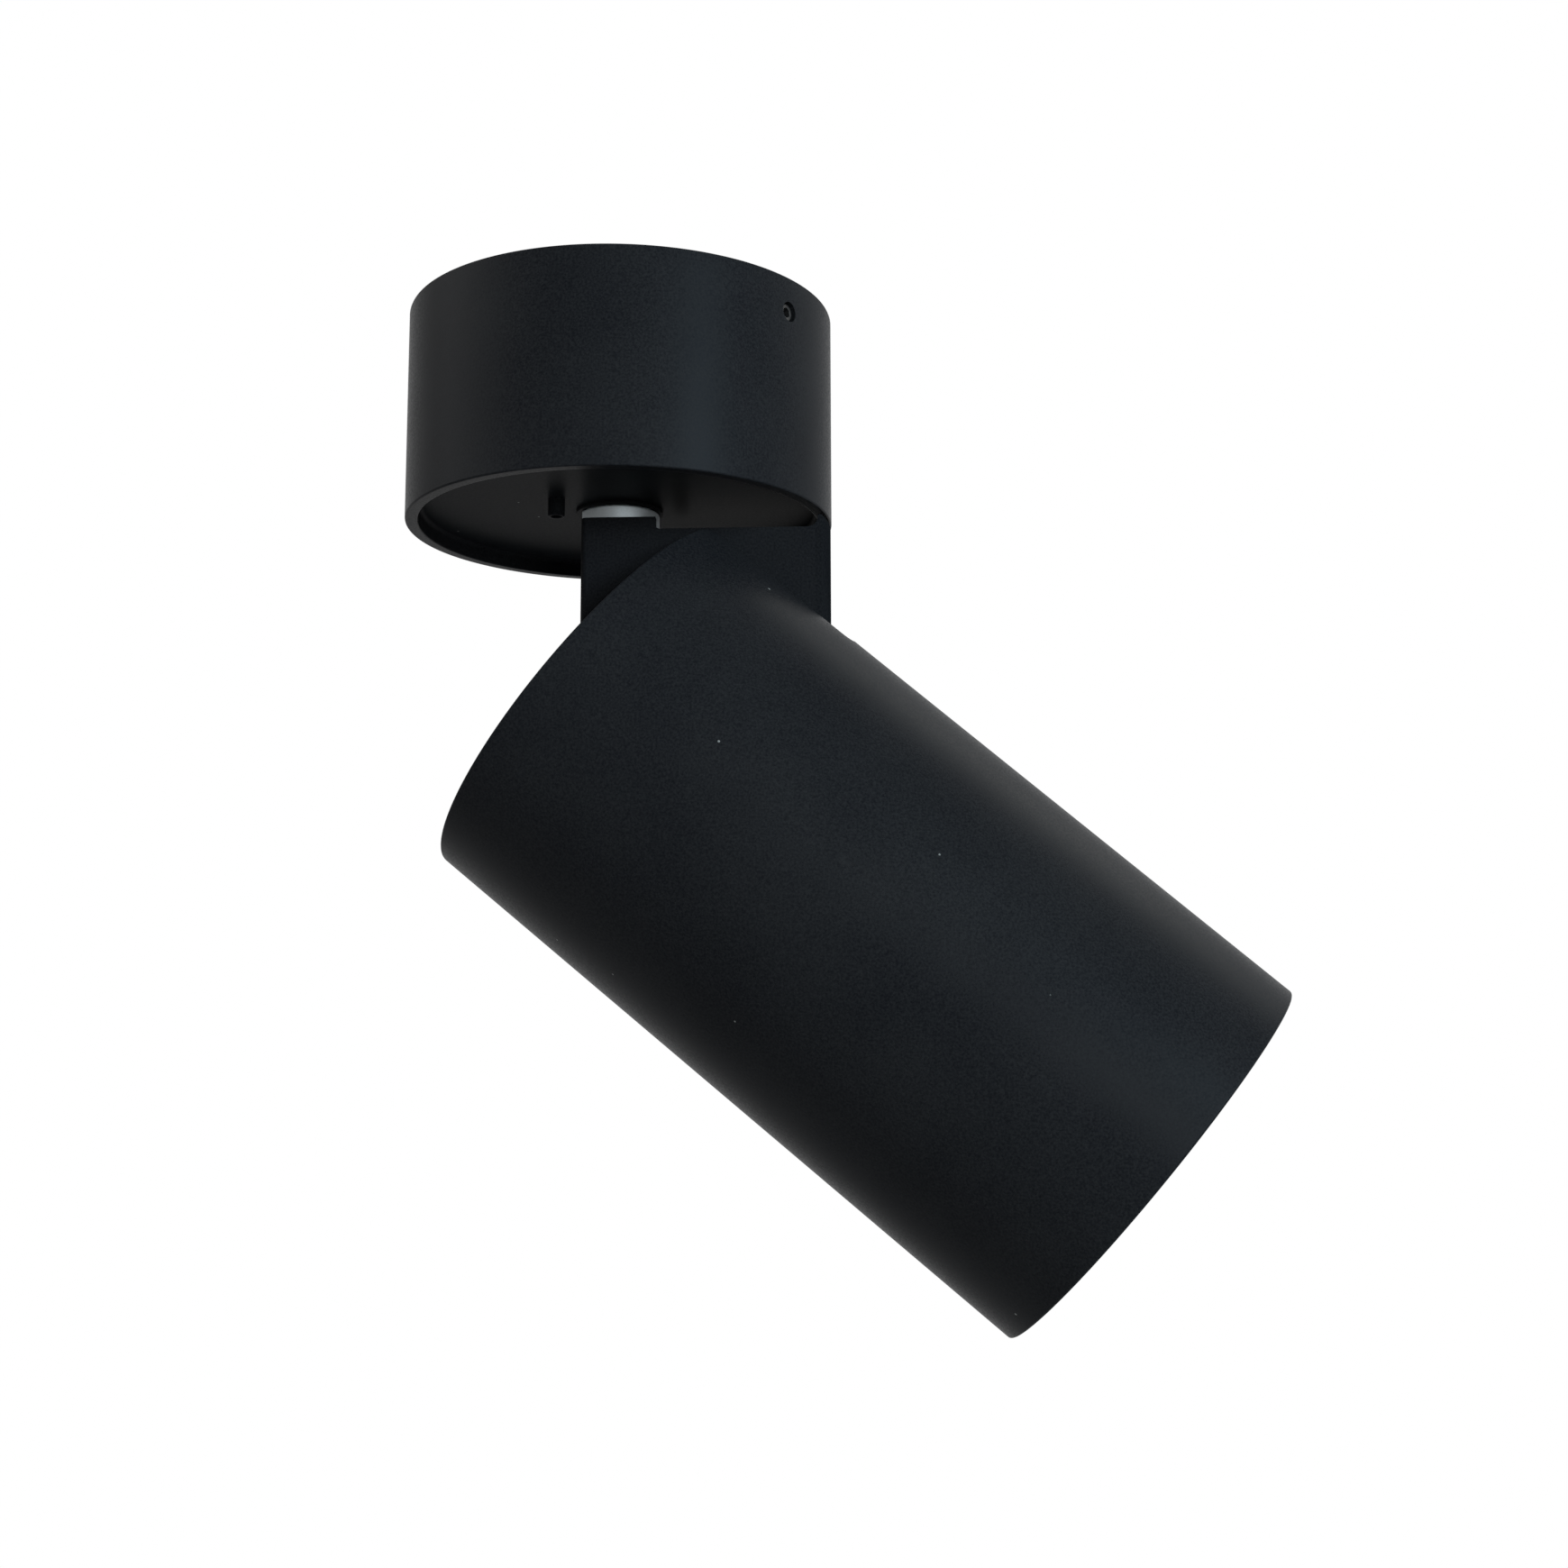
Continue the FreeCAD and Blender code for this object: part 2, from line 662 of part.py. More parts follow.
def make_driver_board():
    """The circuit board on its ledge, with the transformer, two capacitors and a choke."""
    body = new_body("driver_board")
    inset = driver_wall + loose_gap / 2
    under = floor_top + driver_wall + board_lift
    top = under + board_thickness
    long_half = driver_x - inset
    wide_half = driver_far - driver_offset - inset
    pad(body, "XY", [box(-long_half, driver_offset - wide_half, long_half,
                         driver_offset + wide_half)], under, top)
    tall = driver_height - board_lift - board_thickness - driver_wall * 2 - lid_thickness
    core = wide_half * transformer_share
    pad(body, "XY", [box(-core, driver_offset - core, core, driver_offset + core)],
        top, top + tall)
    can_x = long_half * transformer_share
    can_y = wide_half * choke_share
    can = wide_half * capacitor_radius_share
    pad(body, "XY", [disc(can_x, driver_offset + can_y, can),
                     disc(can_x, driver_offset - can_y, can)], top, top + tall * capacitor_share)
    pad(body, "XY", [disc(-can_x, driver_offset, can)], top, top + tall * choke_share)
    pegs = [disc(x, y, board_thickness) for x in (-can_x, can_x)
            for y in (driver_offset - core, driver_offset + core)]
    pad(body, "XY", pegs, floor_top + driver_wall, under)
    turn_with_strap(body)


def make_terminal_block():
    body = new_body("terminal_block")
    top = floor_top + terminal_height
    x = terminal_length / 2
    pad(body, "XY", [box(-x, -terminal_far, x, -terminal_near)], floor_top, top)
    reach = terminal_screw_x + small_head_radius
    pad(body, "XY", [box(-reach, -terminal_offset - tab_width / 2, reach,
                         tab_width / 2 - terminal_offset)], boss_top, boss_top + tab_thickness)
    poles = [-terminal_pitch, zero, terminal_pitch]
    cut(body, "XY", [disc(pole, -terminal_offset, well_radius) for pole in poles],
        top - terminal_height / 2, top + overrun)
    cut(body, "XZ", [disc(pole, floor_top + terminal_height / 2, wire_hole_radius)
                     for pole in poles], -terminal_far - overrun, overrun - terminal_near)
    cut(body, "XY", [disc(x, y, small_screw_radius + loose_gap) for x, y in screw_places[2:]],
        boss_top - overrun, boss_top + tab_thickness + overrun)
    turn_with_strap(body)


def make_terminal_screws():
    body = new_body("terminal_screws")
    under = floor_top + terminal_height / 2 + wire_hole_radius
    radius = well_radius - loose_gap / 2
    poles = [-terminal_pitch, zero, terminal_pitch]
    top = under + small_head_height
    pad(body, "XY", [disc(pole, -terminal_offset, radius) for pole in poles], under, top)
    slot = radius / 4
    cut(body, "XY", [box(pole - radius, -terminal_offset - slot, pole + radius,
                         slot - terminal_offset) for pole in poles], top - slot * 2, top + overrun)
    turn_with_strap(body)


def make_case_screws():
    """Four like screws: two hold the driver and two hold the terminal block."""
    body = new_body("case_screws")
    seat = boss_top + tab_thickness
    head = seat + small_head_height
    pad(body, "XY", [disc(x, y, small_head_radius) for x, y in screw_places], seat, head)
    pad(body, "XY", [disc(x, y, small_screw_radius) for x, y in screw_places],
        seat - small_screw_length, seat)
    cut(body, "XY", [hexagon(x, y, small_head_radius) for x, y in screw_places],
        head - small_head_height / 2, head + overrun)
    turn_with_strap(body)


def make_stop_pin():
    """A screw from inside whose end stands out under the floor and stops the swivel."""
    body = new_body("stop_pin")
    pad(body, "XY", [disc(stop_x, stop_y, stop_head_radius)],
        floor_top, floor_top + stop_head_height)
    pad(body, "XY", [disc(stop_x, stop_y, stop_pin_radius)],
        floor_under - stop_pin_drop, floor_top)
    cut(body, "XY", [hexagon(stop_x, stop_y, stop_head_radius)],
        floor_top + stop_head_height / 2, floor_top + stop_head_height + overrun)
    turn_with_strap(body)


# Swivel: washers and spring on the hollow nipple, above and below the canopy floor.
washer_inner = nipple_radius + loose_gap
collar_top = floor_under - washer_thickness
spring_under = floor_top + washer_thickness
nut_under = spring_under + spring_thickness + spring_rise
nipple_top = nut_under + swivel_nut_height * 2 + nipple_spare


def make_swivel():
    lower = new_body("lower_washer")
    ring(lower, washer_inner, collar_radius, floor_under - washer_thickness, floor_under)
    turn_with_strap(lower)
    upper = new_body("upper_washer")
    ring(upper, washer_inner, collar_radius, floor_top, spring_under)
    turn_with_strap(upper)

    nipple = new_body("swivel_nipple")
    ring(nipple, nipple_bore, nipple_radius, arm_top - nipple_seat, nipple_top)

    collar = new_body("swivel_collar")
    ring(collar, running_radius, collar_radius, arm_top, collar_top)
    bevel(collar, washer_thickness / 2, rim(collar_radius, collar_top))

    spring = new_body("swivel_spring")
    outer = collar_radius - spring_rise
    turn(spring, [(running_radius, spring_under + spring_rise), (outer, spring_under),
                  (outer, spring_under + spring_thickness),
                  (running_radius, spring_under + spring_rise + spring_thickness)])

    nuts = new_body("swivel_nuts")
    for level in (nut_under, nut_under + swivel_nut_height):
        pad(nuts, "XY", [hexagon(zero, zero, swivel_nut_across),
                         disc(zero, zero, running_radius)], level, level + swivel_nut_height)


# Arm. The underside slopes down from the free end and runs into a round end about the hinge.
arm_x = -arm_start
slope_x = hinge_x - round_end * sine(underside_slope)
slope_z = hinge_z - round_end * cosine(underside_slope)
rise_per_run = sine(underside_slope) / cosine(underside_slope)
corner_z = slope_z + (slope_x - arm_x) * rise_per_run
cover_length = (slope_x - arm_x) / cosine(underside_slope)
cover_exit = cover_length * cover_exit_share
cover_screw_places = [cover_screw_inset, cover_length - cover_screw_inset]
grommet_hole = grommet_bore + grommet_wall
cavity_half = arm_half_width - arm_wall
cavity_top = arm_top - arm_wall
boss_under = arm_top - nipple_seat


def make_swivel_arm():
    body = new_body("swivel_arm")
    web_x = arm_radius - arm_web_lip
    web_z = arm_top + arm_web_rise
    pad(body, "XZ", [[(arm_x, arm_top), (arm_x, corner_z), (slope_x, slope_z),
                      (hinge_x, hinge_z), (arm_radius, hinge_z), (arm_radius, web_z),
                      (web_x, web_z), (web_x, arm_top)]], -arm_half_width, arm_half_width)
    pad(body, "XZ", [disc(hinge_x, hinge_z, round_end)], -arm_half_width, arm_half_width)
    soften(body, arm_web_round, crosswise(web_x, arm_top))
    for start, stop in ((-arm_half_width, cheek_tab_thickness - arm_half_width),
                        (arm_half_width - cheek_tab_thickness, arm_half_width)):
        pad(body, "XZ", [box(arm_x, arm_top, cheek_tab_end, arm_top + cheek_tab_rise)],
            start, stop)
    soften(body, cheek_tab_round, crosswise(cheek_tab_end, arm_top))
    soften(body, arm_corner, upright([arm_x], [-arm_half_width, arm_half_width]))
    pad(body, "XY", [disc(-stop_circle * cosine(stop_angle), -stop_circle * sine(stop_angle),
                          stop_lug_radius)], arm_top - arm_wall, arm_top + stop_lug_rise)
    turn_away(body, box(arm_radius, hinge_z - round_end - overrun,
                        arm_radius + round_end, web_z + overrun))
    cavity_end = arm_radius - arm_web
    low = hinge_z - round_end - overrun
    boss_x = arm_x + cover_boss
    boss_z = corner_z + cover_boss_height
    cut(body, "XZ", [[(arm_x + arm_wall, boss_under), (nipple_seat, boss_under),
                      (nipple_seat, cavity_top), (cavity_end, cavity_top),
                      (cavity_end, hinge_z + hinge_boss), (hinge_x, hinge_z + hinge_boss),
                      (slope_x - cover_boss, hinge_z), (slope_x - cover_boss, low),
                      (boss_x, low), (boss_x, boss_z), (arm_x + arm_wall, boss_z + arm_wall)]],
        -cavity_half, cavity_half)
    cut(body, "XY", [disc(zero, zero, running_radius)], boss_under - overrun,
        arm_top + overrun)
    cut(body, "XZ", [disc(hinge_x, hinge_z, hinge_pin_radius + fit_gap)],
        -arm_half_width - overrun, arm_half_width + overrun)
    pilot = cover_screw_radius + fit_gap
    cut(body, "XY", [disc(x, zero, pilot) for x in cover_screw_places], -overrun,
        cover_screw_length, leaning=True)


def lay_on_underside(body):
    """Lay a piece drawn along X, with its top at zero, against the arm's sloping underside."""
    place(body, Vector(0, 1, 0), underside_slope, arm_x, zero, corner_z)


def make_arm_cover():
    body = new_body("arm_cover")
    inset = loose_gap
    half = arm_half_width - inset
    pad(body, "XY", [box(inset, -half, cover_length, half)], -cover_thickness, zero)
    soften(body, arm_corner, upright([inset], [-half, half]))
    cut(body, "XY", [disc(cover_exit, zero, grommet_hole)], -cover_thickness - overrun, overrun)
    cut(body, "XY", [disc(x, zero, cover_screw_radius + loose_gap) for x in cover_screw_places],
        -cover_thickness - overrun, overrun)
    cut(body, "XY", [disc(x, zero, cover_screw_head + fit_gap) for x in cover_screw_places],
        -cover_thickness - overrun, cover_head_height - cover_thickness)
    lay_on_underside(body)


def make_cover_screws():
    body = new_body("cover_screws")
    seat = cover_head_height - cover_thickness
    pad(body, "XY", [disc(x, zero, cover_screw_head) for x in cover_screw_places],
        -cover_thickness, seat)
    pad(body, "XY", [disc(x, zero, cover_screw_radius) for x in cover_screw_places],
        seat, seat + cover_screw_length)
    cut(body, "XY", [hexagon(x, zero, cover_screw_head) for x in cover_screw_places],
        -cover_thickness - overrun, seat - cover_head_height / 2)
    lay_on_underside(body)


def make_arm_grommet():
    body = new_body("arm_grommet")
    flange = grommet_hole + grommet_flange
    under = -cover_thickness
    turn(body, [(grommet_bore, zero), (grommet_hole - fit_gap, zero),
                (grommet_hole - fit_gap, under), (flange, under),
                (flange, under - grommet_flange), (grommet_bore, under - grommet_flange)])
    place(body, Vector(0, 1, 0), underside_slope,
          arm_x + cover_exit * cosine(underside_slope), zero,
          corner_z - cover_exit * sine(underside_slope))


# Hinge: the yoke stands on the heat sink, and its two ears hold the arm between them.
ear_inner = arm_half_width + hinge_washer
ear_outer = ear_inner + yoke_ear
clamp_face = ear_outer + hinge_spring
yoke_hole_x = hinge_x - yoke_hole_reach
yoke_places = [(x, y) for x in (yoke_hole_x, yoke_hole_x + yoke_hole_step)
               for y in (-yoke_hole_y, yoke_hole_y)]


def make_hinge_yoke():
    body = new_body("hinge_yoke")
    pad(body, "XY", [box(hinge_x - yoke_reach, -yoke_half_width, tube_inner, yoke_half_width)],
        sink_top, well_floor)
    back = hinge_x - yoke_ear_radius
    front = hinge_x + yoke_ear_radius
    for start, stop in ((-ear_outer, -ear_inner), (ear_inner, ear_outer)):
        pad(body, "XZ", [[(back - yoke_foot, sink_top), (front, sink_top), (front, hinge_z),
                          (back, hinge_z)]], start, stop)
        pad(body, "XZ", [disc(hinge_x, hinge_z, yoke_ear_radius)], start, stop)
    turn_away(body, box(tube_inner - loose_gap, sink_top - overrun,
                        tube_radius + yoke_half_width, hinge_z + yoke_ear_radius + overrun))
    cut(body, "XZ", [disc(hinge_x, hinge_z, hinge_pin_radius + fit_gap)],
        -ear_outer - overrun, ear_outer + overrun)
    cut(body, "XY", [disc(x, y, yoke_screw_radius + loose_gap) for x, y in yoke_places],
        sink_top - overrun, well_floor + overrun)
    tip_with_tube(body)


def make_yoke_screws():
    body = new_body("yoke_screws")
    head = well_floor + yoke_head_height
    pad(body, "XY", [disc(x, y, yoke_screw_head) for x, y in yoke_places], well_floor, head)
    pad(body, "XY", [disc(x, y, yoke_screw_radius) for x, y in yoke_places],
        sink_top - sink_plate + fit_gap, well_floor)
    cut(body, "XY", [hexagon(x, y, yoke_screw_head) for x, y in yoke_places],
        head - yoke_head_height / 2, head + overrun)
    tip_with_tube(body)


def make_hinge_hardware():
    pin = new_body("hinge_pin")
    head = clamp_face + hinge_head_height
    pad(pin, "XZ", [disc(hinge_x, hinge_z, hinge_pin_radius)],
        -clamp_face, clamp_face + hinge_nut_height)
    pad(pin, "XZ", [disc(hinge_x, hinge_z, hinge_head_radius)], -head, -clamp_face)
    cut(pin, "XZ", [hexagon(hinge_x, hinge_z, hinge_socket)],
        -head - overrun, -clamp_face - hinge_head_height / 3)
    tip_with_tube(pin)

    nut = new_body("hinge_nut")
    pad(nut, "XZ", [hexagon(hinge_x, hinge_z, hinge_nut_across),
                    disc(hinge_x, hinge_z, hinge_pin_radius + fit_gap)],
        clamp_face, clamp_face + hinge_nut_height)
    tip_with_tube(nut)

    springs = new_body("hinge_springs")
    outer = hinge_head_radius
    inner = hinge_pin_radius + fit_gap
    for start in (ear_outer, -clamp_face):
        pad(springs, "XZ", [disc(hinge_x, hinge_z, outer), disc(hinge_x, hinge_z, inner)],
            start, start + hinge_spring)
    tip_with_tube(springs)

    washers = new_body("hinge_washers")
    inner = hinge_pin_radius + loose_gap
    for start in (arm_half_width, -ear_inner):
        pad(washers, "XZ", [disc(hinge_x, hinge_z, hinge_washer_radius),
                            disc(hinge_x, hinge_z, inner)], start, start + hinge_washer)


def make_lamp_tube():
    body = new_body("lamp_tube")
    ring(body, tube_inner, tube_radius, tube_end, tube_top)
    bevel(body, tube_edge, rim(tube_radius, tube_top))
    bevel(body, tube_edge, rim(tube_radius, tube_end))
    slot_end = well_floor + slot_stop
    slot_half_width = arm_half_width + slot_gap
    cut(body, "YZ", [[(-slot_half_width, tube_top + overrun),
                      (-slot_half_width, slot_end + slot_corner, slot_corner),
                      (slot_corner - slot_half_width, slot_end),
                      (slot_half_width - slot_corner, slot_end, slot_corner),
                      (slot_half_width, slot_end + slot_corner),
                      (slot_half_width, tube_top + overrun)]],
        zero, tube_radius + overrun)
    tip_with_tube(body)


cable_x = sink_cable_inset - tube_inner


def make_heat_sink():
    """The turned and milled heat sink: two plates, a core and radial fins between them."""
    body = new_body("heat_sink")
    outer = tube_inner - fit_gap
    under_plate = sink_top - sink_plate
    over_foot = sink_end + sink_foot
    turn(body, [(zero, sink_end), (outer, sink_end), (outer, over_foot), (sink_core, over_foot),
                (sink_core, under_plate), (outer, under_plate), (outer, sink_top),
                (zero, sink_top)])
    half = fin_thickness / 2
    fin = pad(body, "XY", [box(sink_core / 2, -half, outer - fin_thickness, half)],
              over_foot, under_plate)
    around(body, [fin], fin_count)
    cut(body, "XY", [disc(cable_x, zero, grommet_hole)],
        under_plate - overrun, sink_top + overrun)
    cut(body, "XY", [disc(cable_x, zero, grommet_bore)], sink_end - overrun, over_foot + overrun)
    cut(body, "XY", [disc(x, y, yoke_screw_radius + fit_gap) for x, y in yoke_places],
        under_plate, sink_top + overrun)
    cut(body, "XY", [disc(x, zero, small_screw_radius + fit_gap)
                     for x in (-holder_screw_place, holder_screw_place)],
        sink_end - overrun, sink_end + sink_foot / 2)
    tip_with_tube(body)


def make_sink_grommet():
    body = new_body("sink_grommet")
    under = sink_top - sink_plate
    cable = [disc(cable_x, zero, grommet_bore)]
    pad(body, "XY", [disc(cable_x, zero, grommet_hole - fit_gap)] + cable, under, sink_top)
    pad(body, "XY", [disc(cable_x, zero, grommet_hole + grommet_flange)] + cable,
        sink_top, sink_top + grommet_flange)
    tip_with_tube(body)


def make_light_source():
    chip = new_body("led_chip")
    half = chip_side / 2
    under = sink_end - chip_thickness
    pad(chip, "XY", [box(-half, -half, half, half)], under, sink_end)
    tip_with_tube(chip)

    emitter = new_body("led_emitter")
    dome = emitter_radius - emitter_height
    turn(emitter, [(zero, under), (zero, under - emitter_height), (dome, under - emitter_height),
                   (emitter_radius, under)])
    tip_with_tube(emitter)

    holder = new_body("chip_holder")
    throat = emitter_radius + emitter_height
    turn(holder, [(throat, sink_end), (holder_radius, sink_end),
                  (holder_radius, holder_end + holder_height / 3),
                  (holder_radius - holder_height / 3, holder_end), (holder_mouth, holder_end)])
    pocket = half + loose_gap / 2
    cut(holder, "XY", [box(-pocket, -pocket, pocket, pocket)], under, sink_end + overrun)
    places = (-holder_screw_place, holder_screw_place)
    head_level = holder_end + small_head_height
    cut(holder, "XY", [disc(x, zero, small_screw_radius + loose_gap) for x in places],
        holder_end - overrun, sink_end + overrun)
    cut(holder, "XY", [disc(x, zero, small_head_radius + loose_gap) for x in places],
        holder_end - overrun, head_level)
    tip_with_tube(holder)

    screws = new_body("holder_screws")
    pad(screws, "XY", [disc(x, zero, small_head_radius) for x in places], holder_end, head_level)
    pad(screws, "XY", [disc(x, zero, small_screw_radius) for x in places],
        head_level, sink_end + sink_foot / 2)
    cut(screws, "XY", [hexagon(x, zero, small_head_radius) for x in places],
        holder_end - overrun, holder_end + small_head_height / 2)
    tip_with_tube(screws)


def make_optics():
    reflector = new_body("reflector")
    flange_top = reflector_end + reflector_wall
    reflector_mouth = glass_radius - reflector_rim
    flare = reflector_mouth - reflector_throat
    bands = [(reflector_throat + flare * wide, holder_end - reflector_height * deep)
             for deep, wide in ((0, 0),) + reflector_shares]
    inside = bands + [(reflector_mouth, reflector_end), (glass_radius, reflector_end)]
    outside = [(radius + reflector_wall, level) for radius, level in
               bands + [(reflector_mouth, flange_top)]]
    turn(reflector, inside + [(glass_radius, flange_top)] + outside[::-1])
    tip_with_tube(reflector)

    gasket = new_body("glass_gasket")
    ring(gasket, glass_radius - gasket_width, glass_radius, glass_top, reflector_end)
    tip_with_tube(gasket)

    glass = new_body("front_glass")
    ring(glass, zero, glass_radius, glass_under, glass_top)
    tip_with_tube(glass)


def make_glare_ring():
    """Black stepped ring that holds the glass: it widens in steps from the glass to the mouth."""
    body = new_body("glare_ring")
    outer = tube_inner - fit_gap
    end = tube_end + baffle_inset
    baffle_mouth = tube_inner - baffle_mouth_wall
    baffle_throat = tube_inner - baffle_throat_wall
    step_height = (glass_under - end) / baffle_steps
    step_width = (baffle_mouth - baffle_throat) / baffle_steps
    points = [(outer, glass_under), (outer, end), (baffle_mouth, end)]
    for step in range(baffle_steps, 0, -1):
        level = glass_under - step_height * (step - 1)
        radius = baffle_throat + step_width * step
        groove = level - step_height * baffle_groove_share
        points.append((radius, groove))
        points.append((radius - step_width, groove) if step > 1
                      else (baffle_throat, glass_under))
    turn(body, points)
    tip_with_tube(body)


def write_parts():
    """Check every object and every sub-part, then write one file for each sub-part."""
    doc.recompute()
    failed = [item.Name for item in doc.Objects
              if "Invalid" in item.State or "Error" in item.State]
    if failed:
        raise RuntimeError("failed objects: " + ", ".join(failed))
    os.makedirs("parts", exist_ok=True)
    for body in parts:
        shape = body.Shape
        if shape.isNull() or not shape.isValid() or shape.Volume <= 0:
            raise RuntimeError("bad shape: " + body.Label)
        shape.exportStep("parts/%s.step" % body.Label)
        print("%-18s solids %2d  volume %9.0f" % (body.Label, len(shape.Solids), shape.Volume))


make_canopy_shell()
make_ceiling_strap()
make_side_screws()
make_cable_grommet()
make_earth_screw()
make_driver_case()
make_driver_lid()
make_driver_board()
make_terminal_block()
make_terminal_screws()
make_case_screws()
make_stop_pin()
make_swivel()
make_swivel_arm()
make_arm_cover()
make_cover_screws()
make_arm_grommet()
make_hinge_yoke()
make_yoke_screws()
make_hinge_hardware()
make_lamp_tube()
make_heat_sink()
make_sink_grommet()
make_light_source()
make_optics()
make_glare_ring()
write_parts()
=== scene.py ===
import math

import bmesh
import bpy
from mathutils import Matrix, Vector


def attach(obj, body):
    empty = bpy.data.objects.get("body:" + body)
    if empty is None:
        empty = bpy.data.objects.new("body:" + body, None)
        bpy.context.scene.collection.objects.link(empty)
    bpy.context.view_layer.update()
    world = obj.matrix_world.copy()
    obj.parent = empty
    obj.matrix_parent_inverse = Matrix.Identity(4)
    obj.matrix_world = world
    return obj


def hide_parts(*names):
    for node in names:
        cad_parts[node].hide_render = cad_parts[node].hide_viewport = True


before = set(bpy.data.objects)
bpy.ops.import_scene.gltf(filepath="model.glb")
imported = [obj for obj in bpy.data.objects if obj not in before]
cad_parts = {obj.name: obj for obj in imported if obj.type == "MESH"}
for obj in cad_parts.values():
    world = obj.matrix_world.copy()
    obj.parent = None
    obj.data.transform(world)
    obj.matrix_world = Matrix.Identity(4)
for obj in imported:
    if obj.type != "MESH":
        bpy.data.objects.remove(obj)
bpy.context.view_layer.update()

# Camera: the photograph looks slightly up at the spotlight from the side of its arm, about half a
# metre away. Lengths in every section are in millimetres, and MM turns them into metres.
MM = 0.001
camera_place = Vector((61.75, -506.29, -192.3)) * MM
camera_yaw = math.radians(-2.604)
camera_pitch = math.radians(9.068)
camera_roll = math.radians(-0.111)
camera = bpy.data.objects.new("camera", bpy.data.cameras.new("camera"))
bpy.context.scene.collection.objects.link(camera)
camera.data.sensor_width = 36
camera.data.lens = 51.06
camera.data.clip_start = 0.02
camera.matrix_world = (Matrix.Translation(camera_place)
                       @ Matrix.Rotation(-camera_yaw, 4, "Z")
                       @ Matrix.Rotation(math.pi / 2 + camera_pitch, 4, "X")
                       @ Matrix.Rotation(camera_roll, 4, "Z"))
bpy.context.scene.camera = camera
bpy.context.scene.view_settings.view_transform = "Standard"

# Studio: a white surround, a pale floor far below that takes the shadow, and soft boxes round the
# camera. The surround is white to the camera, to gloss and to glass, and a plain grey otherwise.
surround_grey = 0.1
floor_side = 5000
floor_level = -1000
floor_grey = 0.86
fade_start = 1100
fade_end = 2400
shadow_share = 0.5


def seen_or_mirrored(tree):
    """One where the camera, a reflection or a pane looks, and zero for all other rays."""
    path = tree.nodes.new("ShaderNodeLightPath")
    either = tree.nodes.new("ShaderNodeMath")
    either.operation = "MAXIMUM"
    tree.links.new(path.outputs["Is Camera Ray"], either.inputs[0])
    tree.links.new(path.outputs["Is Glossy Ray"], either.inputs[1])
    any_of = tree.nodes.new("ShaderNodeMath")
    any_of.operation = "MAXIMUM"
    tree.links.new(either.outputs[0], any_of.inputs[0])
    tree.links.new(path.outputs["Is Transmission Ray"], any_of.inputs[1])
    return any_of.outputs[0]


world = bpy.data.worlds.new("studio")
bpy.context.scene.world = world
world.use_nodes = True
surround = world.node_tree
surround.nodes.clear()
dim = surround.nodes.new("ShaderNodeBackground")
dim.inputs["Color"].default_value = (surround_grey, surround_grey, surround_grey, 1)
white = surround.nodes.new("ShaderNodeBackground")
white.inputs["Color"].default_value = (1, 1, 1, 1)
both = surround.nodes.new("ShaderNodeMixShader")
surround.links.new(seen_or_mirrored(surround), both.inputs[0])
surround.links.new(dim.outputs[0], both.inputs[1])
surround.links.new(white.outputs[0], both.inputs[2])
world_end = surround.nodes.new("ShaderNodeOutputWorld")
surround.links.new(both.outputs[0], world_end.inputs[0])

bpy.ops.object.select_all(action="DESELECT")
bpy.ops.mesh.primitive_plane_add(size=floor_side * MM, location=Vector((50, 0, floor_level)) * MM)
floor = bpy.context.object
floor.name = "studio_floor"
bpy.ops.object.transform_apply()
floor_paint = bpy.data.materials.new("pale_floor")
floor_paint.use_nodes = True
floor_tree = floor_paint.node_tree
floor_tree.nodes.clear()
matt = floor_tree.nodes.new("ShaderNodeBsdfDiffuse")
matt.inputs["Color"].default_value = (floor_grey, floor_grey, floor_grey, 1)
glow = floor_tree.nodes.new("ShaderNodeEmission")
glow.inputs["Color"].default_value = (1, 1, 1, 1)
floor_spot = floor_tree.nodes.new("ShaderNodeTexCoord")
far_off = floor_tree.nodes.new("ShaderNodeVectorMath")
far_off.operation = "LENGTH"
floor_tree.links.new(floor_spot.outputs["Object"], far_off.inputs[0])
fade = floor_tree.nodes.new("ShaderNodeMapRange")
fade.interpolation_type = "SMOOTHSTEP"
fade.inputs["From Min"].default_value = fade_start * MM
fade.inputs["From Max"].default_value = fade_end * MM
fade.inputs["To Min"].default_value = shadow_share
fade.inputs["To Max"].default_value = 1.0
floor_tree.links.new(far_off.outputs["Value"], fade.inputs["Value"])
share = floor_tree.nodes.new("ShaderNodeMath")
share.operation = "MULTIPLY"
floor_tree.links.new(seen_or_mirrored(floor_tree), share.inputs[0])
floor_tree.links.new(fade.outputs[0], share.inputs[1])
floor_mix = floor_tree.nodes.new("ShaderNodeMixShader")
floor_tree.links.new(share.outputs[0], floor_mix.inputs[0])
floor_tree.links.new(matt.outputs[0], floor_mix.inputs[1])
floor_tree.links.new(glow.outputs[0], floor_mix.inputs[2])
floor_end = floor_tree.nodes.new("ShaderNodeOutputMaterial")
floor_tree.links.new(floor_mix.outputs[0], floor_end.inputs[0])
floor.data.materials.append(floor_paint)

